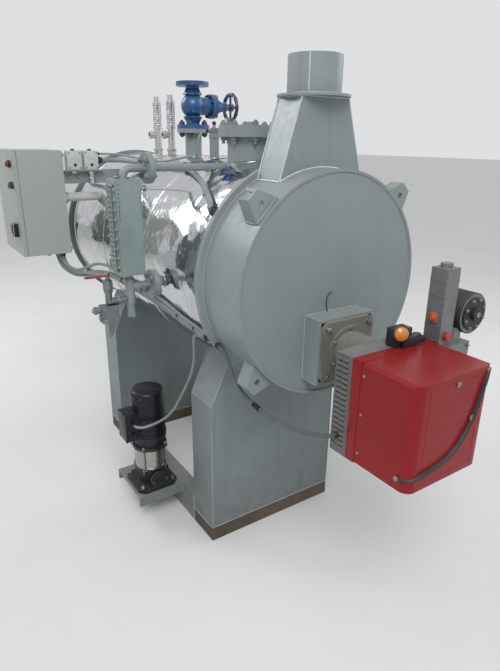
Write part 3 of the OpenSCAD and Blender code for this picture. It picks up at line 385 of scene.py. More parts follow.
def paint(name, color, rough=0.42, mottle=0.10, dust=0.45, dust_and_lit_top_color=DUST, low_dirt=0.0, streak=0.18,
          wear=0.0, wear_and_edge_highlight_color=(0.20, 0.17, 0.15), peel=0.35, uneven=0.4, metallic=0.0, smudge=0.0,
          smudge_and_sheen_color=(0.5, 0.5, 0.5), scale=1.0, coat=0.0, specular=0.5):
    """Paint with uneven tone, streaks, blotches, dust on upward faces, dirt low down and worn edges. On the burner
    finishes the lighter upward faces are a painted highlight. On the flue finish the light blotches are painted
    sheen, and the light worn edges are wear with a painted edge highlight.
    """
    m, t, bsdf, co = start_material(name, rough, metallic)
    geo = node(t, "ShaderNodeNewGeometry")
    normal = split(t, geo.outputs["Normal"])
    big = noise(t, co, 2.4 * scale, 5, 0.6)
    fine = noise(t, co, 42 * scale, 6, 0.65)
    c = mottled(t, big, color, mottle, 0.34, 0.66)
    c = mix(t, remap(t, fine, 0.4, 0.75, 0, 0.35), c, rgba(color, 1 - 1.6 * mottle))
    if streak:
        stretched = node(t, "ShaderNodeMapping", {"Vector": co, "Scale": (16.0, 16.0, 0.8)}).outputs[0]
        runs = remap(t, noise(t, stretched, 1.0, 4, 0.6), 0.52, 0.72)
        upright = remap(t, math_node(t, "ABSOLUTE", normal["Z"]), 0.55, 0.1)
        c = mix(t, times(t, times(t, runs, upright), streak), c, rgba(color, 0.55))
    if smudge:
        blot = remap(t, noise(t, co, 6.5 * scale, 6, 0.7, 0.6), 0.56, 0.74)
        c = mix(t, times(t, blot, smudge), c, rgba(smudge_and_sheen_color))
    rough_out = remap(t, fine, 0.3, 0.7, rough - 0.06, rough + 0.1)
    if dust:
        lying = remap(t, normal["Z"], 0.25, 0.95)
        specks = remap(t, noise(t, co, 9.0 * scale, 8, 0.7), 0.36, 0.66, 0.25, 1.0)
        d = times(t, times(t, lying, specks), dust)
        c = mix(t, d, c, rgba(dust_and_lit_top_color))
        rough_out = math_node(t, "ADD", rough_out, times(t, d, 0.4))
    if low_dirt:
        down = remap(t, split(t, co)["Z"], 0.36, 0.0)
        g = times(t, times(t, down, remap(t, noise(t, co, 11, 7, 0.7), 0.3, 0.7)), low_dirt)
        c = mix(t, g, c, rgba(DIRT))
        rough_out = math_node(t, "ADD", rough_out, times(t, g, 0.3))
    if wear:
        soft = node(t, "ShaderNodeBevel", {"Radius": 0.005}, samples=4).outputs[0]
        dot = node(t, "ShaderNodeVectorMath", {0: soft, 1: geo.outputs["Normal"]}, operation="DOT_PRODUCT")
        edge = remap(t, dot.outputs["Value"], 0.97, 0.86)
        chips = remap(t, noise(t, co, 75 * scale, 5, 0.7), 0.46, 0.6)
        c = mix(t, times(t, times(t, edge, chips), wear), c, rgba(wear_and_edge_highlight_color))
    skin = bump(t, noise(t, co, 430, 2, 0.5), peel, 0.0004)
    connect(t, bsdf, c, rough_out, bump(t, noise(t, co, 7.0, 3, 0.5), uneven, 0.004, skin))
    bsdf.inputs["Specular IOR Level"].default_value = specular
    if coat:
        bsdf.inputs["Coat Weight"].default_value = coat
        bsdf.inputs["Coat Roughness"].default_value = 0.12
    return m


def bare_metal(name, color, rough=0.3, brushed=(1, 1, 1), tarnish=0.2, tarnish_color=(0.2, 0.17, 0.13), scale=1.0):
    """Metal with brushing along one direction, blotches and fine scratches."""
    m, t, bsdf, co = start_material(name, rough, 1.0)
    lines = node(t, "ShaderNodeMapping", {"Vector": co, "Scale": tuple(60.0 * k for k in brushed)}).outputs[0]
    hair = noise(t, lines, 6.0, 3, 0.6)
    blot = noise(t, co, 14 * scale, 6, 0.65, 0.3)
    c = mottled(t, hair, color, 0.12)
    c = mix(t, remap(t, blot, 0.52, 0.78, 0, tarnish), c, rgba(tarnish_color))
    connect(t, bsdf, c, remap(t, blot, 0.3, 0.7, rough - 0.07, rough + 0.16), bump(t, hair, 0.3, 0.0003))
    return m


def mirror_sheet(name):
    """Thin polished sheet, crumpled all over and smeared by hands."""
    m, t, bsdf, co = start_material(name, 0.12, 1.0)
    smear = noise(t, co, 9.0, 8, 0.75, 1.2)
    c = mix(t, remap(t, smear, 0.48, 0.72), (0.57, 0.585, 0.60, 1), (0.43, 0.42, 0.40, 1))
    bent = node(t, "ShaderNodeMapping", {"Vector": co, "Scale": (1.0, 0.55, 1.0)}).outputs[0]
    wide = noise(t, bent, 5.0, 2, 0.45, 0.5)
    creases = node(t, "ShaderNodeTexVoronoi", {"Vector": bent, "Scale": 15.0}, feature="F1").outputs["Distance"]
    small = node(t, "ShaderNodeTexVoronoi", {"Vector": co, "Scale": 46.0}, feature="SMOOTH_F1").outputs["Distance"]
    fine = noise(t, co, 90, 3, 0.5)
    normal = None
    for height, strength, distance in ((wide, 0.9, 0.026), (creases, 0.35, 0.007), (small, 0.35, 0.002),
                                       (fine, 0.15, 0.0005)):
        normal = bump(t, height, strength, distance, normal)
    connect(t, bsdf, c, remap(t, smear, 0.42, 0.75, 0.06, 0.26), normal)
    return m


def plastic(name, color, rough=0.4, mottle=0.06, grain=500.0, dust=0.15, coat=0.0):
    """Moulded plastic or rubber with a fine grain and dust on upward faces."""
    m, t, bsdf, co = start_material(name, rough)
    normal = split(t, node(t, "ShaderNodeNewGeometry").outputs["Normal"])
    blot = noise(t, co, 18, 5, 0.6)
    specks = remap(t, noise(t, co, 30, 6, 0.7), 0.4, 0.65, 0.2 * dust, dust)
    c = mix(t, times(t, remap(t, normal["Z"], 0.3, 0.95), specks), mottled(t, blot, color, mottle), rgba(DUST))
    connect(t, bsdf, c, remap(t, blot, 0.3, 0.7, rough - 0.05, rough + 0.12),
            bump(t, noise(t, co, grain, 2, 0.5), 0.2, 0.0003))
    if coat:
        bsdf.inputs["Coat Weight"].default_value = coat
        bsdf.inputs["Coat Roughness"].default_value = 0.1
    return m


def ribbed(name, color, rough=0.5, pitch=0.004, depth=0.0012):
    """Sheathed conduit: rings along its length, from the length kept in the UV map, with painted shade in the grooves
    between them.
    """
    m, t, bsdf, co = start_material(name, rough)
    uv = node(t, "ShaderNodeTexCoord").outputs["UV"]
    along = split(t, uv)["X"]
    wave = math_node(t, "SINE", times(t, along, 2 * math.pi * MM / pitch))
    blot = noise(t, co, 22, 5, 0.65)
    # Colour darkens in the grooves between the rings: painted shade.
    c = mix(t, remap(t, wave, -1.0, 0.2, 0.45, 0.0), mottled(t, blot, color, 0.12), rgba(color, 0.45))
    connect(t, bsdf, c, remap(t, blot, 0.3, 0.7, rough - 0.05, rough + 0.15), bump(t, wave, 0.8, depth))
    return m


# Finishes, each named after the slot that it belongs to
paint("grey_paint", (0.222, 0.256, 0.262), rough=0.36, wear=0.5)
column_paint = paint("column_paint", (0.215, 0.27, 0.262), mottle=0.14, streak=0.35, smudge=0.4,
                     smudge_and_sheen_color=(0.30, 0.35, 0.33), wear=0.5, scale=2.0)
paint("plate_paint", (0.222, 0.258, 0.263), rough=0.36, mottle=0.07, streak=0.12, smudge=0.3,
      smudge_and_sheen_color=(0.19, 0.20, 0.19), wear=0.35)
# Flue paint: its light blotches are painted sheen, and its light worn edges are edge wear with a painted highlight.
paint("flue_paint", (0.222, 0.258, 0.264), rough=0.31, mottle=0.09, streak=0.3, smudge=0.3, coat=0.08,
      smudge_and_sheen_color=(0.36, 0.38, 0.39), wear=0.5, wear_and_edge_highlight_color=(0.45, 0.47, 0.48))
paint("frame_paint", (0.178, 0.205, 0.213), low_dirt=0.75, streak=0.25, wear=0.6)
bearer_metal = paint("bearer_metal", (0.085, 0.062, 0.047), rough=0.7, mottle=0.35, streak=0.0, smudge=0.7,
                     smudge_and_sheen_color=(0.055, 0.05, 0.047), low_dirt=0.5, uneven=0.8, scale=2.0)
weld_metal = paint("weld_metal", (0.27, 0.305, 0.31), rough=0.33, dust=0.2, streak=0.0, mottle=0.18, scale=3.0)
# Weld colour lightened as a painted highlight, for the flue seams.
weld_painted_highlight = paint("weld_painted_highlight", (0.50, 0.54, 0.56), rough=0.24, dust=0.0, streak=0.0, mottle=0.25, scale=3.0,
                    coat=0.5)
mirror_sheet("cladding_sheet")
band_sheet = bare_metal("band_sheet", (0.55, 0.56, 0.57), 0.22, (1, 0.2, 1), tarnish=0.25)
black_casting = paint("black_casting", (0.008, 0.009, 0.011), mottle=0.3, dust=0.09, streak=0.0,
                      peel=0.8, wear=0.35, wear_and_edge_highlight_color=(0.09, 0.09, 0.095), scale=2.0)
motor_paint = paint("motor_paint", (0.005, 0.007, 0.012), rough=0.34, mottle=0.2, dust=0.03, streak=0.0, peel=0.4,
                    wear=0.25, wear_and_edge_highlight_color=(0.05, 0.05, 0.06), scale=2.0, coat=0.1, specular=0.3)
stage_steel = bare_metal("stage_steel", (0.40, 0.395, 0.37), 0.26, (1, 1, 0.05), tarnish=0.15)
blue_casting = paint("blue_casting", (0.011, 0.082, 0.225), rough=0.28, mottle=0.25, dust=0.12, streak=0.0, peel=1.0,
                     wear=0.3, wear_and_edge_highlight_color=(0.10, 0.16, 0.24), scale=3.0, coat=0.35)
wheel_black = paint("wheel_black", (0.014, 0.028, 0.085), rough=0.28, mottle=0.25, dust=0.2, streak=0.0, peel=0.6,
                    wear=0.5, wear_and_edge_highlight_color=(0.14, 0.14, 0.15), scale=4.0, coat=0.4)
valve_silver = bare_metal("valve_silver", (0.60, 0.61, 0.61), 0.26, (1, 1, 0.3), tarnish=0.35)
cast_steel = bare_metal("cast_steel", (0.24, 0.26, 0.27), 0.38, tarnish=0.5,
                        tarnish_color=(0.10, 0.095, 0.09), scale=2.0)
bolt_zinc = bare_metal("bolt_zinc", (0.34, 0.335, 0.32), 0.36, tarnish=0.6,
                       tarnish_color=(0.12, 0.10, 0.085), scale=3.0)
bolt_dark = bare_metal("bolt_dark", (0.12, 0.12, 0.125), 0.42, tarnish=0.5,
                       tarnish_color=(0.06, 0.05, 0.045), scale=3.0)
bolt_painted = paint("bolt_painted", (0.20, 0.228, 0.232), rough=0.45, streak=0.0, mottle=0.2, wear=0.7, scale=5.0)
plastic("gauge_glass", (0.085, 0.125, 0.112), rough=0.14, coat=0.8, grain=90.0)
lever_red = plastic("lever_red", (0.22, 0.012, 0.014), rough=0.3, coat=0.4)
cabinet_paint = paint("cabinet_paint", (0.335, 0.36, 0.335), rough=0.46, mottle=0.04, streak=0.08, dust=0.3, peel=0.9,
                      uneven=0.15, smudge=0.12, smudge_and_sheen_color=(0.30, 0.29, 0.26), wear=0.25)
arm_paint = paint("arm_paint", (0.50, 0.52, 0.51), rough=0.38, streak=0.05, dust=0.3)
switch_grey = plastic("switch_grey", (0.47, 0.50, 0.48), rough=0.42, mottle=0.05)
# Burner housing grey: the base is darkened partly as painted shade, and the light grey laid on upward faces as dust
# is a painted highlight on the top.
burner_grey = paint("burner_grey", (0.115, 0.112, 0.106), rough=0.38, mottle=0.12, streak=0.15, dust=0.5,
                    dust_and_lit_top_color=(0.27, 0.27, 0.265), uneven=0.15, wear=0.4, wear_and_edge_highlight_color=(0.3, 0.3, 0.29))
# Burner cover red: the lighter red laid on upward faces as dust is a painted highlight.
burner_red = paint("burner_red", (0.245, 0.004, 0.007), rough=0.32, mottle=0.06, streak=0.08, dust=0.16,
                   dust_and_lit_top_color=(0.30, 0.10, 0.09), peel=0.08, uneven=0.04, coat=0.12, specular=0.25)
burner_plate = paint("burner_plate", (0.165, 0.16, 0.142), rough=0.5, mottle=0.2, streak=0.0, peel=1.0, scale=3.0,
                     smudge=0.4, smudge_and_sheen_color=(0.10, 0.09, 0.075))
gas_train = paint("gas_train", (0.19, 0.20, 0.205), rough=0.40, mottle=0.15, streak=0.0, peel=0.8, uneven=0.1,
                  scale=3.0, metallic=0.3)
dark_plastic = plastic("dark_plastic", (0.016, 0.017, 0.019), rough=0.42)
# Near-black fill: black tape, latch and lamp bezels, and also painted shade in slots, grooves, seams and port bores.
black_and_painted_shade = plastic("black_and_painted_shade", (0.008, 0.008, 0.009), rough=0.8, dust=0.0)
rubber = plastic("rubber", (0.016, 0.016, 0.018), rough=0.55, grain=220.0, dust=0.1)
amber = plastic("amber", (0.55, 0.20, 0.02), rough=0.22, coat=0.7)
orange = plastic("orange", (0.66, 0.095, 0.02), rough=0.35)
red_knob = plastic("red_knob", (0.42, 0.02, 0.035), rough=0.3, coat=0.3)
brass = bare_metal("brass", (0.55, 0.40, 0.17), 0.3, tarnish=0.4)
gasket_grey = plastic("gasket_grey", (0.09, 0.09, 0.085), rough=0.8, grain=160.0)
grey_conduit = ribbed("grey_conduit", (0.32, 0.365, 0.362))
grey_cable = ribbed("grey_cable", (0.30, 0.31, 0.29), pitch=0.0030, depth=0.0006)
dark_cable = ribbed("dark_cable", (0.112, 0.128, 0.126), pitch=0.0026, depth=0.0005)
lamp_green = plastic("lamp_green", (0.012, 0.085, 0.032), rough=0.2, coat=0.8)
lamp_red = plastic("lamp_red", (0.15, 0.014, 0.012), rough=0.2, coat=0.8)

# A solid takes the finish named after its slot, apart from these
SLOT_FINISH = {"bare_bearer": bearer_metal}
NODE_FINISH = {"level_column": column_paint, "drain_valve": cast_steel}
for part in frame["record"]["subparts"]:
    piece = cad[part["node"]]
    slot = part["material_slot"]
    piece.data.materials.clear()
    piece.data.materials.append(NODE_FINISH.get(part["node"]) or SLOT_FINISH.get(slot) or made[slot])

# Cables along the routes of their solids, in millimetres
ROUTES = {
    "burner_cable": (14, "dark_cable", dark_cable, [
        (-348, -172.3, 961), (-348, -186, 961), (-347, -214, 953), (-344, -234, 933), (-340, -245, 905),
        (-334, -262, 865), (-327, -300, 828), (-322, -350, 807), (-320, -400, 798), (-319, -450, 794),
        (-311, -505, 790), (-287, -560, 784), (-250, -604, 776), (-212, -632, 769), (-185, -640, 766),
        (-168.3, -640, 766)]),
    "pump_cable": (12, "grey_cable", grey_cable, [
        (-528, 256.7, 480), (-528, 248, 480), (-524, 229.6, 481), (-514, 214, 483), (-498, 204, 485),
        (-478, 200, 488), (-440, 200, 493), (-402, 203, 502), (-372, 205, 518), (-350, 202, 543),
        (-335, 190, 578), (-326, 168, 622), (-321, 140, 668), (-319, 107, 722), (-321, 70, 790),
        (-332, 40, 858), (-347, 12, 918), (-358, -16, 953), (-360, -56, 966), (-357, -98, 965),
        (-353, -140, 961), (-353, -151.7, 961)]),
    "roof_cable": (22, "grey_cable", grey_conduit, [
        (-365.7, 948, 1570), (-350, 948, 1570), (-300, 934, 1570), (-264, 898, 1570), (-247, 850, 1569),
        (-232, 790, 1567), (-212, 715, 1564), (-198, 642, 1561), (-190, 500, 1565), (-191, 367, 1565),
        (-212, 260, 1553), (-240, 157, 1536), (-262, 80, 1520), (-290, -3, 1495), (-318, -80, 1466),
        (-337, -125, 1443), (-339, -140, 1441), (-339, -151.7, 1441)]),
    "probe_cable": (10, "dark_cable", grey_conduit, [
        (-32.3, 433, 1707), (-38, 433, 1707), (-58, 433, 1701), (-72, 434, 1687), (-78, 435, 1667),
        (-79, 437, 1642), (-81, 443, 1621), (-87, 457, 1606), (-97, 478, 1600), (-116, 515, 1593),
        (-143, 560, 1583), (-168, 620, 1574), (-180, 690, 1575), (-200, 760, 1580), (-235, 830, 1589),
        (-280, 892, 1597), (-318, 926, 1600), (-345, 938, 1600), (-365.7, 938, 1600)]),
    "conduit_run": (18, "grey_cable", grey_conduit, [
        (-560, 1000, 1129.7), (-560, 1000, 1115), (-557, 995, 1086), (-549, 981, 1062), (-538, 959, 1046),
        (-524, 934, 1040), (-490, 868, 1040), (-450, 780, 1043), (-420, 700, 1046), (-406, 620, 1047),
        (-397, 480, 1046), (-397, 310, 1043), (-393, 170, 1034), (-383, 20, 1009), (-375, -100, 993),
        (-373, -140, 989), (-373, -151.7, 989)]),
}
route_line = {}
for name, (d, slot, finish, points) in ROUTES.items():
    line = smooth_path(points, 6.0)
    route_line[name] = line
    b = Build()
    b.tube(line, d / 2, 14)
    piece = b.finish(name + "_sheath", slot, finish, 40, replaces=(name,))

# Floor, background and light
floor_mesh = bpy.data.meshes.new("floor")
floor_mesh.from_pydata([(-60, -60, 0), (60, -60, 0), (60, 60, 0), (-60, 60, 0)], [], [(0, 1, 2, 3)])
floor = bpy.data.objects.new("floor", floor_mesh)
link(floor)
concrete, tree, bsdf, co = start_material("floor", 0.8)
patches = remap(tree, noise(tree, co, 1.3, 5, 0.6), 0.35, 0.65)
tone = mix(tree, patches, (0.66, 0.66, 0.65, 1), (0.69, 0.69, 0.68, 1))
tree.links.new(tone, bsdf.inputs["Base Color"])
floor_mesh.materials.append(concrete)

world = bpy.data.worlds.new("world")
world.use_nodes = True
wt = world.node_tree
lighting = wt.nodes["Background"]
lighting.inputs[0].default_value = (0.95, 0.98, 1.0, 1)
lighting.inputs[1].default_value = 0.60
seen = node(wt, "ShaderNodeBackground", {0: (0.735, 0.745, 0.755, 1), 1: 1.0})
rays = node(wt, "ShaderNodeLightPath")
which = rays.outputs["Is Camera Ray"]
for kind in ("Glossy", "Transmission"):
    which = math_node(wt, "MAXIMUM", which, rays.outputs["Is %s Ray" % kind])
blend = node(wt, "ShaderNodeMixShader", {0: which, 1: lighting.outputs[0], 2: seen.outputs[0]})
wt.links.new(blend.outputs[0], wt.nodes["World Output"].inputs[0])
scene.world = world


def lamp(name, place, aim, size, power):
    data = bpy.data.lights.new(name, "AREA")
    data.energy = power
    data.size = size
    o = bpy.data.objects.new(name, data)
    o.location = place
    o.rotation_euler = (Vector(aim) - Vector(place)).to_track_quat("-Z", "Y").to_euler()
    link(o)


lamp("key", (-2.1, -3.2, 4.6), (0, 0.1, 1.1), 2.0, 105)
lamp("back", (-2.4, 4.2, 4.2), (0, 0.6, 1.2), 2.2, 90)
lamp("side", (3.6, -0.6, 3.4), (0, 0.4, 1.0), 2.6, 40)
sun = bpy.data.lights.new("sky", "SUN")
sun.energy = 0.55
sun.angle = 0.9
sky = bpy.data.objects.new("sky", sun)
sky.rotation_euler = (math.radians(32), math.radians(-22), 0)
link(sky)

# Cable glands, clips and the tape on the burner cable
b = Build()
for name, line in route_line.items():
    d = ROUTES[name][0]
    for end, inner in ((line[0], line[1]), (line[-1], line[-2])):
        w = (inner - end).normalized()
        b.nut(end, w, d * 1.5, d * 0.55)
        b.lathe(end + w * d * 0.55, w, [(0, 0), (d * 0.68, 0), (d * 0.70, d * 0.1), (d * 0.66, d * 0.45),
                                        (d * 0.53, d * 0.62), (0, d * 0.62)], 24)
b.finish("cable_glands", "dark_cable", dark_plastic)


def wrap(name, y, reach, r, mat):
    """Tape or a clip round a cable where it passes y."""
    line = route_line[name]
    i = min(range(len(line)), key=lambda k: abs(line[k].y - y))
    b.tube(line[i - reach:i + reach + 1], r, 16, mat)


b = Build()
for y in (600, 380, 60, -60):
    wrap("conduit_run", y, 1, 10.4, 1)
wrap("burner_cable", -395, 3, 9.4, 0)
wrap("roof_cable", 330, 1, 12.2, 1)
b.finish("cable_tape", "dark_cable", [black_and_painted_shade, dark_plastic])

# Thinner conduits that follow the main conduit on the barrel
run_points = ROUTES["conduit_run"][3]


def beside_run(p, radius, turn):
    return on_barrel(radius, math.degrees(math.atan2(p[2] - AXIS_Z, p[0])) + turn, p[1])


for name, d, shift in (("upper", 14, -2.5), ("lower", 16, 2.6), ("lowest", 12, 4.8)):
    radius = CLADDING_R + d / 2 + 1.5
    line = [beside_run(p, radius, shift + 0.5 * math.sin(p[1] * 0.012 + d)) for p in run_points[7:-2]]
    last = beside_run(run_points[-1], radius, shift)
    start = Vector((-572, 1040 + 9 * shift, 1129.7))
    head = [start, start - Z * 16, start + Vector((12, -34, -62 - 4 * shift)),
            start + Vector((48, -105, -92 - 5 * shift)), line[0] + Vector((-34, 68, 2))]
    line = smooth_path(head + line + [last + Y * 12, last], 8.0)
    b = Build()
    b.tube(line, d / 2)
    piece = b.finish("thin_conduit_" + name, "grey_cable", grey_conduit, 40)

# Cladding: lap seams with rivets, end bands and collars where pipes pass
RIVET = [(2.6, 0), (2.4, 0.9), (1.2, 1.5), (0, 1.6)]
b = Build()
for y, w in ((-148, 26), (330, 16), (812, 16), (1262, 26)):
    b.lathe(on_barrel(0, 0, y), Y, [(410.2, 0), (411.6, 0.6), (411.6, w - 0.6), (410.2, w)], 160)
for y in (338, 820):
    for a in (360 * k / 64 for k in range(64)):
        if not 262 < a < 278:
            b.lathe(on_barrel(411.4, a, y), outward(a), RIVET, 8)
for y in (-110 + k * 32.5 for k in range(42)):
    b.lathe(on_barrel(411.2, 282, y), outward(282), RIVET, 8)
b.finish("cladding_bands", "cladding_sheet", band_sheet)


def barrel_reach(offset):
    """How far the cladding reaches from its axis, at an offset to the side."""
    return math.sqrt(max(1.0, CLADDING_R ** 2 - offset ** 2))


def saddle_collar(centre, axis, r, width):
    """A thin collar that follows the barrel round a pipe along the axis."""
    rings = []
    for radius, lift in ((r, 2.6), (r + 1.2, 3.0), (r + width, 0.6), (r + width + 0.6, -1.0)):
        ring = []
        for p in circle(centre, axis, radius, 64):
            if axis is Z:
                q = (p.x, p.y, AXIS_Z + barrel_reach(p.x) + lift)
            else:
                q = (-barrel_reach(p.z - AXIS_Z) - lift, p.y, p.z)
            ring.append(b.bm.verts.new(q))
        rings.append(ring)
    for a, c in zip(rings, rings[1:]):
        b.skin(a, c, 0)


b = Build()
for y, r, width in ((VALVE_Y, 38.4, 20), (HATCH_Y, 90.4, 20), (PROBE_Y, 21.4, 14), (863, 20.4, 14), (1023, 20.4, 14)):
    saddle_collar((0, y, 0), Z, r, width)
for y, z, r, width in ((COLUMN_Y, 1570, 14.4, 12), (COLUMN_Y, 1140, 14.4, 12), (580, 1455, 10.9, 10)):
    saddle_collar((0, y, z), X, r, width)
b.finish("cladding_collars", "cladding_sheet", band_sheet)

# Ring welds of the boxes at both ends
b = Build()
for y, r, n, size in ((-396.5, COVER_R, 240, 2.8), (-173.5, BOX_R, 240, 3.4), (1356.5, BOX_R, 200, 3.4),
                      (1431.5, COVER_R, 200, 2.8), (1333.5, 386.5, 200, 3.2)):
    b.bead(circle(on_barrel(0, 0, y), Y, r, n), size, True)
b.finish("ring_welds", "plate_paint", weld_metal, 60)


# Flue: where the hopper meets the smoke box, its corners, the stub and its seam, in a weld colour lightened as a
# painted highlight
b = Build()
seat = [-182.0 + 2 * 182.0 * k / 12 for k in range(13)]
b.bead([(x, -302.5, AXIS_Z + math.sqrt(400.0 ** 2 - x * x) + 1.2) for x in seat], 3.2)
for s in (-1, 1):
    b.bead([(s * 183.5, -300, 1542), (s * 183.5, -174, 1542)], 3.2)
    for y in (-301.5, -173.5):
        b.bead([(s * 182.3, y, 1543), (s * 100.6, y, 1806)], 2.4)
    b.bead([(s * 101.2, -300, 1806), (s * 101.2, -174, 1806)], 2.6)
for y in (-303, -171):
    b.bead([(-98, y, 1806), (98, y, 1806)], 2.6)
b.bead(circle((0, -237, 1816.4), Z, 93.2, 96), 2.8, True)
b.bead([(-71.5, -295, 1817), (-71.5, -295, 1933)])
b.finish("flue_welds", "flue_paint", weld_painted_highlight, 60)

# Lifting lugs
b = Build()
for angle in (44, -44, 136, 224):
    v = outward(angle).cross(Y).normalized()
    base = on_barrel(BOX_R, angle, 0)
    for y in (-383, -371):
        b.bead([base + v * -52 + Y * y, base + v * 52 + Y * y], 2.6)
    for s in (-1, 1):
        foot = base + v * (s * 54)
        tip = on_barrel(472, angle, 0) + v * (s * 24)
        b.bead([foot + Y * -370, foot + Y * -324], 2.6)
        b.bead([foot + Y * -371 - v * (s * 9), tip + Y * -371 - v * (s * 9)], 2.0)
b.finish("lug_welds", "grey_paint", weld_metal, 60)

# Saddles and skids: welds along the plates and under the barrel
b = Build()
for y0, y1 in ((-83, 83), (990, 1156)):
    for y in (y0 - 0.4, y1 + 0.4):
        for s in (-1, 1):
            b.bead([(s * 325, y, 69), (s * 325, y, 660), (s * 238, y, 852)], 2.2)
        b.bead([on_barrel(411.4, a, y) for a in range(236, 305, 4)])
    for s in (-1, 1):
        b.bead([(s * 327.4, y0 + 4, 70), (s * 327.4, y1 - 4, 70)])
        b.bead([(s * 327.2, y0 + 3, 660), (s * 327.2, y1 - 3, 660)], 1.8)
    for y in (y0 - 0.6, y1 + 0.6):
        b.bead([(-322, y, 70), (322, y, 70)])
b.finish("saddle_welds", "frame_paint", weld_metal, 60)

b = Build()
for s in (-1, 1):
    for y in (85.5, 987.5):
        b.bead([(s * 328, y, 4), (s * 328, y, 138)], 2.6)
        b.bead([(s * 324, y, 141), (s * 270, y, 141)], 2.6)
for y in (194, 464):
    b.bead([(-328.4, y, 92), (-328.4, y, 140)], 2.4)
b.bead([(-328.4, 198, 140.6), (-328.4, 460, 140.6)], 2.4)
b.finish("skid_welds", "frame_paint", weld_metal, 60)

# Steam valve: gaskets, raised faces, bolts, ribs, seat rings
b = Build()
b.ring((0, VALVE_Y, 1716.4), Z, 21, 51, 1.8, 64, 2)
b.ring((0, VALVE_Y, 1916.8), Z, 20.2, 50, 2.2)
for q in spots((0, VALVE_Y, 0), 55, 4):
    b.bolt(q + Z * 1735, Z, 15, 1)
    b.bolt(q + Z * 1699, -Z, 15, 1, 0.35)
for p in circle((0, VALVE_Y, VALVE_Z), X, 46, 8, 22.5):
    b.bolt(p + X * 112, X, 8, 1)
    b.bolt(p + X * 84, -X, 8, 1, 0.2)
b.lathe((0, VALVE_Y, VALVE_Z), X, [(53.4, 97.6), (54.2, 97.9), (54.2, 98.7), (53.4, 99)], 64, 2)
for z in (1762, 1872):
    b.lathe((0, VALVE_Y, z), Z, [(30.8, -5), (35.0, -2.6), (35.0, 2.6), (30.8, 5)], 40)
for s in (-1, 1):
    b.lathe((0, VALVE_Y, VALVE_Z + s * 68), Z * s, [(30.6, 6), (33, 0), (40, -12), (44, -22)], 40)
b.disc((176, VALVE_Y, VALVE_Z), X, 12.5, 4, 24, 3)
b.nut((180, VALVE_Y, VALVE_Z), X, 21, 8, 3)
b.finish("steam_valve_fittings", "blue_casting", [blue_casting, bolt_dark, gasket_grey, brass])

b = Build()
rim = circle((205, VALVE_Y, VALVE_Z), X, 58.5, 120)
b.tube(rim, 8.6, 14, 0, True, lambda s: 1.0 + 0.09 * math.cos(10 * s / 58.5))
b.disc((211, VALVE_Y, VALVE_Z), X, 11, 3, 24, 1)
b.nut((214, VALVE_Y, VALVE_Z), X, 15, 7, 1, 0.2)
for k in range(1, 12):
    b.ring((178 + k * 1.3, VALVE_Y, VALVE_Z), X, 7.6, 8.4, 0.7, 20, 1, 0.2)
b.finish("handwheel_nut", "wheel_black", [wheel_black, bolt_zinc], body="wheel")

b = Build()
b.bead(circle((0, VALVE_Y, 1698), Z, 39.4, 64), 2.6, True)
b.bead(circle((0, HATCH_Y, 1680), Z, 91.4, 96), 2.8, True)
for z in COLUMN_ZS:
    b.bead(circle((-437.6, COLUMN_Y, z), X, 15.4, 32), 2.0, True)
    b.bead(circle((-462.4, COLUMN_Y, z), X, 15.4, 32), 2.0, True)
b.bead(circle((-515, COLUMN_Y, 1570), X, 14.4, 32), 1.6, True)
b.finish("nozzle_welds", "grey_paint", weld_metal, 60)

# Inspection nozzle: joint, bolts and centre nut
b = Build()
b.ring((0, HATCH_Y, 1702.2), Z, 60, 117, 1.8, 96, 1)
for q in spots((0, HATCH_Y, 0), 107.5, 8, 22.5):
    b.bolt(q + Z * 1725, Z, 14, 0, 0.4)
    b.bolt(q + Z * 1681, -Z, 14, 0, 0.9)
b.lathe((0, HATCH_Y, 1725), Z, [(16, -1), (16, 3), (13, 5), (0, 5)])
b.nut((0, HATCH_Y, 1729), Z, 24, 10)
b.finish("hatch_fittings", "grey_paint", [bolt_painted, gasket_grey])

# Safety valves: springs, end plates, nuts and side ports
b = Build()
for y in SAFETY_YS:
    spring = [spots((0, y, 1734 + 92 * k / 160), 15.5, 1, 360 * 9 * k / 160)[0] for k in range(161)]
    b.tube(spring, 2.4, 8)
    b.disc((0, y, 1728), Z, 19, 6)
    b.disc((0, y, 1826), Z, 19, 6)
    for q in spots((0, y, 0), 18, 4):
        b.nut(q + Z * 1846, Z, 11, 5)
        b.nut(q + Z * 1728, Z, 11, 5)
    b.nut((0, y, 1613), Z, 44, 12, 0, 0.3)
    b.ring((-48, y, 1692), X, 10, 19, 3, 32)
    # Dark disc in each side port: painted shade in the bore.
    b.disc((-46.6, y, 1692), X, 12, 1.0, 24, 2)
b.finish("safety_valve_fittings", "valve_silver", [valve_silver, brass, black_and_painted_shade])

b = Build()
b.lathe((0, PROBE_Y, 1732), Z, [(7, 0), (9, 2), (9, 10), (6, 14), (0, 15)], 24, 1)
for k in range(6):
    b.ring((0, PROBE_Y, 1697 + k * 3.4), Z, 19, 20.6, 1.6, 32)
b.finish("probe_fittings", "grey_paint", [bolt_painted, dark_plastic])

# Level column: gasket joints, bolts, gauge frame, slotted guard, vent
b = Build()
for z in COLUMN_ZS:
    for q in spots((0, COLUMN_Y, z), 38, 4, 45, Y, Z):
        b.bolt(q + X * -461, -X, 11, 0, 0.3)
        b.bolt(q + X * -439, X, 11, 0, 0.3)
    b.lathe((-451, COLUMN_Y, z), X, [(53.0, 0), (54.2, 0.3), (54.2, 1.7), (53.0, 2)], 64, 1)
b.finish("level_joint_bolts", "grey_paint", [bolt_painted, gasket_grey])

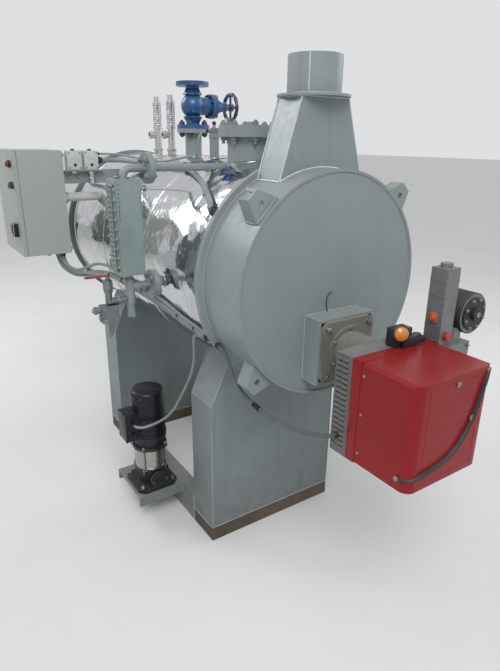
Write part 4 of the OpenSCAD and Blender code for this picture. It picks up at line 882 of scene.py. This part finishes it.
b = Build()
for z in (1226 + k * 34.2 for k in range(9)):
    for y in (104.5, 185.5):
        b.bolt((-593, y, z), -X, 7, 0, 0.6)
for y0, y1 in ((112, 119), (171, 178)):
    b.box((-597, y0, 1208), (-592.5, y1, 1517))
for z in (1508, 1208):
    b.box((-597, 112, z), (-592.5, 178, z + 9))
# Dark dashes on the guard: painted shade in its slots.
for z in (1392 + k * 15.2 for k in range(9)):
    b.box((-584, 99.4, z), (-581, 100.3, z + 8), 2, 0.3)
for x0, x1 in ((-591, -590), (-500, -497.4)):
    b.box((x0, 98.8, 1190.5), (x1, 100.6, 1534.5), 0, 0.4)
for z in (1535, 1184):
    b.nut((-545, COLUMN_Y, z), Z, 42, 6, 0, 0.2)
b.nut((-568, COLUMN_Y, 1535), Z, 20, 10, 1)
b.tube(smooth_path([(-520, 128, 1500), (-497, 128, 1500), (-470, 128, 1501), (-430, 130, 1500), (-385, 133, 1497),
                    (-318, 136, 1490), (-283, 138, 1483)], 6.0), 7.5, 14, 3)
b.nut((-497, 128, 1500), X, 24, 12, 1)
b.nut((-478, 128, 1500.6), X, 22, 10, 1)
b.finish("level_gauge_fittings", "grey_paint", [column_paint, bolt_zinc, black_and_painted_shade, arm_paint])

# Dark bars across the gauge glass: painted shade in its grooves.
b = Build()
for z in (1226 + k * 17.6 for k in range(16)):
    b.box((-602.2, 131, z), (-600.6, 159, z + 2.0), 0, 0.3)
b.finish("gauge_glass_grooves", "gauge_glass", black_and_painted_shade)

b = Build()
b.nut((DRAIN_X, COLUMN_Y, 1140), -Z, 34, 10, 0, 0.3)
b.nut((DRAIN_X, COLUMN_Y, 1174), Z, 20, 6)
b.nut((-600, COLUMN_Y, 1092), X, 32, 10)
b.lathe((-681, COLUMN_Y, 1064), -X, [(12.2, -2), (15, 0), (15, 9), (12.5, 11), (0, 11)], 24)
b.nut((-692, COLUMN_Y, 1064), -X, 14, 6, 1)
b.disc((-667.6, COLUMN_Y, 1034), -X, 13, 4, 24)
for x in (-655, -613):
    for z in (1026, 1068):
        b.bolt((x, 125, z), -Y, 7, 1, 0.3)
b.finish("drain_fittings", "valve_silver", [cast_steel, bolt_zinc])

b = Build()
b.nut((DRAIN_X, COLUMN_Y, 1195), Z, 15, 6, 1)
b.disc((DRAIN_X, COLUMN_Y, 1194.6), Z, 9, 1.4, 20, 1)
b.tube([(x, COLUMN_Y, 1192.5) for x in (-652, -668, -690, -709)], 10.5, 16, 0, flat=0.48)
b.finish("drain_lever_sleeve", "lever_red", [lever_red, bolt_zinc], body="lever")

# Cabinet: gasket, wall lugs, glands and the gear inside
b = Build()
for z in (1134, 1606):
    b.box((-736.6, 954, z), (-733, 1346, z + 5), 1)
for y in (954, 1341):
    b.box((-736.6, y, 1139), (-733, y + 5, 1606), 1)
for y in (975, 1325):
    for z in (1150, 1595):
        b.box((-530.3, y - 12, z - 12), (-524, y + 12, z + 12))
        b.bolt((-524, y, z), X, 7, 2, 0.4)
for y in (1040, 1085, 1130, 1175):
    b.nut((-620, y, 1130), -Z, 26, 8, 3)
    b.lathe((-620, y, 1122), -Z, [(11, 0), (11, 6), (9, 12), (0, 12)], 24, 3)
b.box((-540, 975, 1160), (-537, 1325, 1590), 4, 0.5)
for z in (1240, 1400):
    b.box((-543, 990, z), (-540, 1310, z + 30), 4, 0.5)
for k in range(9):
    b.box((-600, 1000 + k * 33, 1225), (-543, 1028 + k * 33, 1300), 5 if k % 3 else 3, 1.5)
for k in range(6):
    b.box((-608, 1000 + k * 48, 1385), (-543, 1042 + k * 48, 1470), 3 if k % 2 else 5, 1.5)
for y in (985, 1300):
    b.box((-590, y, 1170), (-541, y + 22, 1590), 5, 1.5)
b.finish("cabinet_fittings", "cabinet_paint",
         [cabinet_paint, rubber, bolt_zinc, dark_plastic, band_sheet, switch_grey])

# Door: latch, two lamps and the hinge pins
LAMP = [(15.5, -22), (16.5, -21), (16.5, -16), (13.4, -15), (13.4, 0.3), (11.6, 2.4), (0, 3.2)]
b = Build()
b.box((-779.5, 993, 1219), (-755.5, 1027, 1285), 1, 2.0)
b.disc((-779, 1010, 1270), -X, 9, 5, 24, 1)
b.box((-787, 1001, 1236), (-779, 1019, 1282), 1, 2.0)
for z, m in ((1460, 2), (1555, 3)):
    b.lathe((-777, 996, z), -X, LAMP, 32, m)
    b.ring((-761, 996, z), -X, 13.2, 17.2, 5.5, 32, 1)
for z in (1217.5, 1542.5):
    b.disc((-736, 1357, z), Z, 6.4, 2.0, 24, 1)
b.finish("door_fittings", "cabinet_paint", [cabinet_paint, black_and_painted_shade, lamp_green, lamp_red], body="door")

# Pressure switches and the cabinet's bracket
b = Build()
for x0 in (-514, -434):
    b.box((x0 + 2, 922.5, 1530), (x0 + 66, 926.4, 1610), 0, 2.0)
    for dx in (8, 60):
        for z in (1536, 1604):
            b.disc((x0 + dx, 922.4, z), -Y, 3.2, 1.4, 12, 1)
    b.box((x0 + 14, 921.6, 1572), (x0 + 54, 923.4, 1598), 2, 0.6)
    b.disc((x0 + 34, 922.6, 1550), -Y, 7, 3.5, 24, 1)
    b.lathe((x0 + 34, 948, 1614), Z, [(9, 0), (9, 5), (7.5, 8), (0, 8)], 24, 1)
    b.nut((x0 + 34, 948, 1520), -Z, 22, 10, 3)
b.nut((-400, 940, 1508), Z, 26, 10, 3)
b.nut((-400, 940, 1486), Z, 26, 9, 3)
b.finish("switch_fittings", "switch_grey", [switch_grey, dark_plastic, arm_paint, valve_silver])

b = Build()
for x in (-505, -465):
    b.bolt((x, 962, 1494), -Y, 9, 0, 0.4)
b.ring((-530.5, 990, 1397), X, 21.2, 40, 5, 40, 1)
for q in spots((-525.5, 990, 1397), 31, 4, 45, Y, Z):
    b.bolt(q, X, 7, 0, 0.3)
b.finish("bracket_fittings", "grey_paint", [bolt_zinc, arm_paint])

# Feed pump: stay bolts, sleeve seams, motor cowl, terminal box lid, foot bolts, vent plug
b = Build()
for q in spots(PUMP, 74.5, 4):
    b.tube([q + Z * 228, q + Z * 342], 4.2)
    b.nut(q + Z * 349, Z, 13, 8)
    for z0, z1 in ((216, 236), (334, 350)):
        b.box(q + Vector((-9, -9, z0)), q + Vector((9, 9, z1)), 1, 2.0)
for sx in (-1, 1):
    for sy in (-1, 1):
        b.bolt(PUMP + Vector((sx * 74, sy * 74, 160)), Z, 11, 0, 0.8)
b.finish("pump_stays", "black_casting", [bolt_zinc, black_casting])

b = Build()
for z in (240, 329):
    b.ring(PUMP + Z * z, Z, 69.6, 71.4, 3.0, 72)
b.lathe(PUMP + Z * 284, Z, [(70.0, -2.2), (70.8, -1), (70.8, 1), (70.0, 2.2)], 72)
b.finish("pump_sleeve_rings", "stage_steel", stage_steel)

b = Build()
cap = [(75.8, 590), (77.4, 591), (77.8, 594), (77.4, 606), (75.5, 614), (71, 620), (62, 624.5), (44, 627.5),
       (22, 628.5), (0, 628.8)]
b.lathe(PUMP, Z, cap, 72)
b.ring(PUMP + Z * 566, Z, 75.8, 77.2, 5, 72)
b.ring(PUMP + Z * 404, Z, 75.8, 79, 12, 72)
for q in spots(PUMP + Z * 600, 77, 4):
    b.disc(q, q - PUMP - Z * 600, 4, 2, 12, 1)
b.finish("motor_cowl", "motor_paint", [motor_paint, bolt_dark])

b = Build()
b.box((-565, 254, 397), (-558, 346, 533), 0, 3.0)
for y in (262, 338):
    for z in (405, 525):
        b.disc((-565, y, z), -X, 3.6, 1.6, 12, 1)
# Dark layer under the lid's edge: painted shade in the seam.
b.box((-560.5, 256, 399), (-557.5, 344, 531), 2, 0.5)
b.nut((-528, 257, 430), -Y, 22, 8)
b.disc((-528, 249, 430), -Y, 8, 4, 20)
b.finish("terminal_box_lid", "motor_paint", [motor_paint, bolt_dark, black_and_painted_shade])

b = Build()
for y, s in ((205, -1), (395, 1)):
    port = (PUMP.x, y, 190)
    b.ring(port, Y * s, 19, 30, 2.2, 40, 1)
    # Dark disc in each port: painted shade in the bore.
    b.disc(port, Y * s, 18.5, 1.0, 32, 2)
    for x in (-33, 33):
        b.bolt((PUMP.x + x, y - s * 0.2, 190), Y * s, 9, 0, 0.6)
b.nut((PUMP.x, 233, 214), -Y, 18, 8, 3)
b.nut((-372, 300, 178), X, 18, 8, 3)
b.finish("pump_port_fittings", "black_casting", [bolt_dark, black_casting, black_and_painted_shade, brass])

# Burner: mount welds, studs, flange nuts, wire hook
b = Build()
for s in (-1, 1):
    b.bead([(s * 126, -397.4, 864), (s * 126, -397.4, 1098)])
    b.bead([(-124, -397.4, BURNER_Z + s * 119), (124, -397.4, BURNER_Z + s * 119)])
    for t in (-1, 1):
        b.bead([(s * 125, -398, BURNER_Z + t * 118), (s * 125, -474, BURNER_Z + t * 118)], 1.8)
b.finish("burner_mount_welds", "plate_paint", weld_metal, 60)

b = Build()
for s in (-1, 1):
    for t in (-1, 1):
        b.bolt((s * 94, -487, BURNER_Z + t * 88), -Y, 11, 0, 0.8)
b.ring((0, -487, BURNER_Z), -Y, 70.6, 88, 8, 64, 1)
for q in spots((0, -495, BURNER_Z), 79, 6, 30, X, Z):
    b.bolt(q, -Y, 6, 0, 0.2)
for y in (-520, -560):
    b.ring((0, y, BURNER_Z), Y, 69.6, 71.8, 5, 64, 1)
hook = smooth_path([(-27, -400, 1099), (-30, -402, 1113), (-36, -404, 1138), (-34, -404, 1156), (-24, -404, 1168),
                    (-11, -404, 1169)], 3.0)
b.tube(hook, 1.6, 8, 2)
b.finish("burner_flange_fittings", "burner_plate", [bolt_zinc, burner_plate, rubber])

# Burner housing: louvres, seams and screws
b = Build()
for s in (-1, 1):
    x, out = s * HOUSING_X, s * (HOUSING_X + 3.6)
    slot_x = sorted((x - s * 0.4, x + s * 0.5))
    for z in (734 + k * 18.4 for k in range(17)):
        for y in (-655, -628):
            hood = [(x, y - 12, z), (out, y - 11, z + 1.5), (out, y + 11, z + 1.5), (x, y + 12, z),
                    (x, y + 12, z + 9), (x, y - 12, z + 9)]
            a = [b.bm.verts.new(q) for q in hood]
            for face in ((0, 1, 2, 3), (1, 5, 4, 2), (0, 5, 1), (3, 2, 4)):
                b.bm.faces.new([a[i] for i in face])
            # Dark box under each louvre: painted shade in its slot.
            b.box((slot_x[0], y - 11, z - 5.2), (slot_x[1], y + 11, z + 0.2), 1, 0.1)
b.box((-169.2, -719.4, 700.5), (169.2, -716.6, 1050.8), 0, 0.6)
b.box((-169, -612.6, 700.5), (169, -609.8, 1050.6), 0, 0.6)
for x in (-150, -60, 60, 150):
    b.disc((x, -628, 1050), Z, 4, 1.8, 12, 2)
for z in (725, 1030):
    for s in (-1, 1):
        b.disc((s * HOUSING_X, -622, z), X * s, 4, 1.8, 12, 2)
b.finish("burner_louvres", "burner_grey", [burner_grey, black_and_painted_shade, bolt_zinc])

# Burner cover: its skirt, screws, centre screw and the pressed rim of its front
b = Build()
for x0, x1 in ((-169.6, -167), (167, 169.6)):
    b.box((x0, -722, 705.6), (x1, -684, 1050.4), 0, 0.6)
b.box((-168, -722, 1049), (168, -684, 1051.6), 0, 0.6)
for s in (-1, 1):
    for z in (745, 880, 1010):
        b.disc((s * HOUSING_X, -735, z), X * s, 5, 2.2, 16, 1)
b.disc((0, -938.0, 1022), -Y, 9, 4.0, 24, 1)
b.nut((0, -941.6, 1022), -Y, 10, 2.0, 1)
for x in (-118, 118):
    b.tube([(x, COVER_Y, 726), (x, COVER_Y, 1030)], 1.4, 8)
for z in (726, 1030):
    b.tube([(-118, COVER_Y, z), (118, COVER_Y, z)], 1.4, 8)
b.finish("burner_cover_trim", "burner_red", [burner_red, bolt_zinc])

# On top of the burner: socket, amber lamp and actuator
b = Build()
lamp_at = Vector((10, -706, 1102))
w = Vector((-0.50, -0.84, 0.20)).normalized()
b.box((2, -700, 1049), (74, -652, 1112), 0, 5.0)
b.box((22, -716, 1049), (92, -698, 1086), 0, 4.0)
b.lathe(lamp_at - w * 8, w, [(0, 0), (26, 0), (28, 3), (28, 12), (25, 14)])
b.lathe(lamp_at, w, [(23, 0), (24, 5), (22, 11), (15, 16), (6, 18), (0, 18.3)], 32, 1)
b.box((98, -704, 1049), (140, -660, 1070), 0, 3.0)
b.disc((119, -682, 1070), Z, 14, 7, 28)
b.finish("burner_top_fittings", "burner_grey", [dark_plastic, amber])

b = Build()
strap = smooth_path([(140, -936.5, 1036), (128, -941.5, 1010), (112, -942, 960), (92, -942.5, 900), (62, -943, 846),
                     (18, -943, 800), (-36, -943, 776), (-90, -943, 768), (-130, -941, 760), (-160, -926, 752),
                     (-171.5, -898, 746)], 5.0)
b.tube(strap, 8.0, 12, 0, flat=0.35)
b.disc((86, -940, 892), -Y, 10, 6, 20, 1)
b.disc((140, -937, 1036), -Y, 9, 5, 20, 1)
b.disc((-170.5, -898, 746), -X, 9, 5, 20, 1)
b.finish("burner_strap", "dark_cable", [rubber, bolt_zinc])

# Gas valve: ribs, screws, plugs and knob
b = Build()
for y in (-741 + k * 9.4 for k in range(9)):
    b.ring(REGULATOR + Y * y, Y, 66, 71.5, 4.6)
b.disc(REGULATOR - Y * 743.6, -Y, 58, 6, 64)
b.disc(REGULATOR - Y * 749, -Y, 22, 12, 40)
b.nut(REGULATOR - Y * 760, -Y, 18, 6, 1)
for q in spots(REGULATOR - Y * 749.4, 50, 8, 22.5, X, Z):
    b.bolt(q, -Y, 6, 1, 0.2)
b.finish("gas_regulator_ribs", "gas_train", [dark_plastic, bolt_zinc])

b = Build()
for z in (1050, 1100, 1150, 1200, 1250):
    b.box((169.6, -733.4, z), (236.4, -666.6, z + 3), 0, 0.8)
for x in (178, 228):
    for z in (1062, 1280):
        b.disc((x, -732, z), -Y, 3.4, 1.8, 12, 1)
b.box((163, -716, 1112), (171.5, -688, 1148), 2, 3.0)
b.disc((163, -702, 1130), -X, 9, 7, 24, 2)
b.lathe((200, -732, 1066), -Y, [(0, 0), (13, 0), (15, 3), (15, 14), (12, 17), (0, 18)], 32, 3)
for x in (180, 306):
    for z in (932, 1020):
        b.bolt((x, -748, z), -Y, 8, 1, 0.2)
b.ring(GAS_FLANGE, X, 18, 34, 3, 48)
for q in spots(GAS_FLANGE + X * 0.5, 40, 4, 45, Y, Z):
    b.bolt(q, X, 8, 1, 0.3)
for y in (-628 - k * 5.4 for k in range(5)):
    b.ring((268, y, GAS_FLANGE.z), Y, 31, 33.5, 2.6, 48)
b.finish("gas_valve_fittings", "gas_train", [gas_train, bolt_zinc, orange, red_knob])
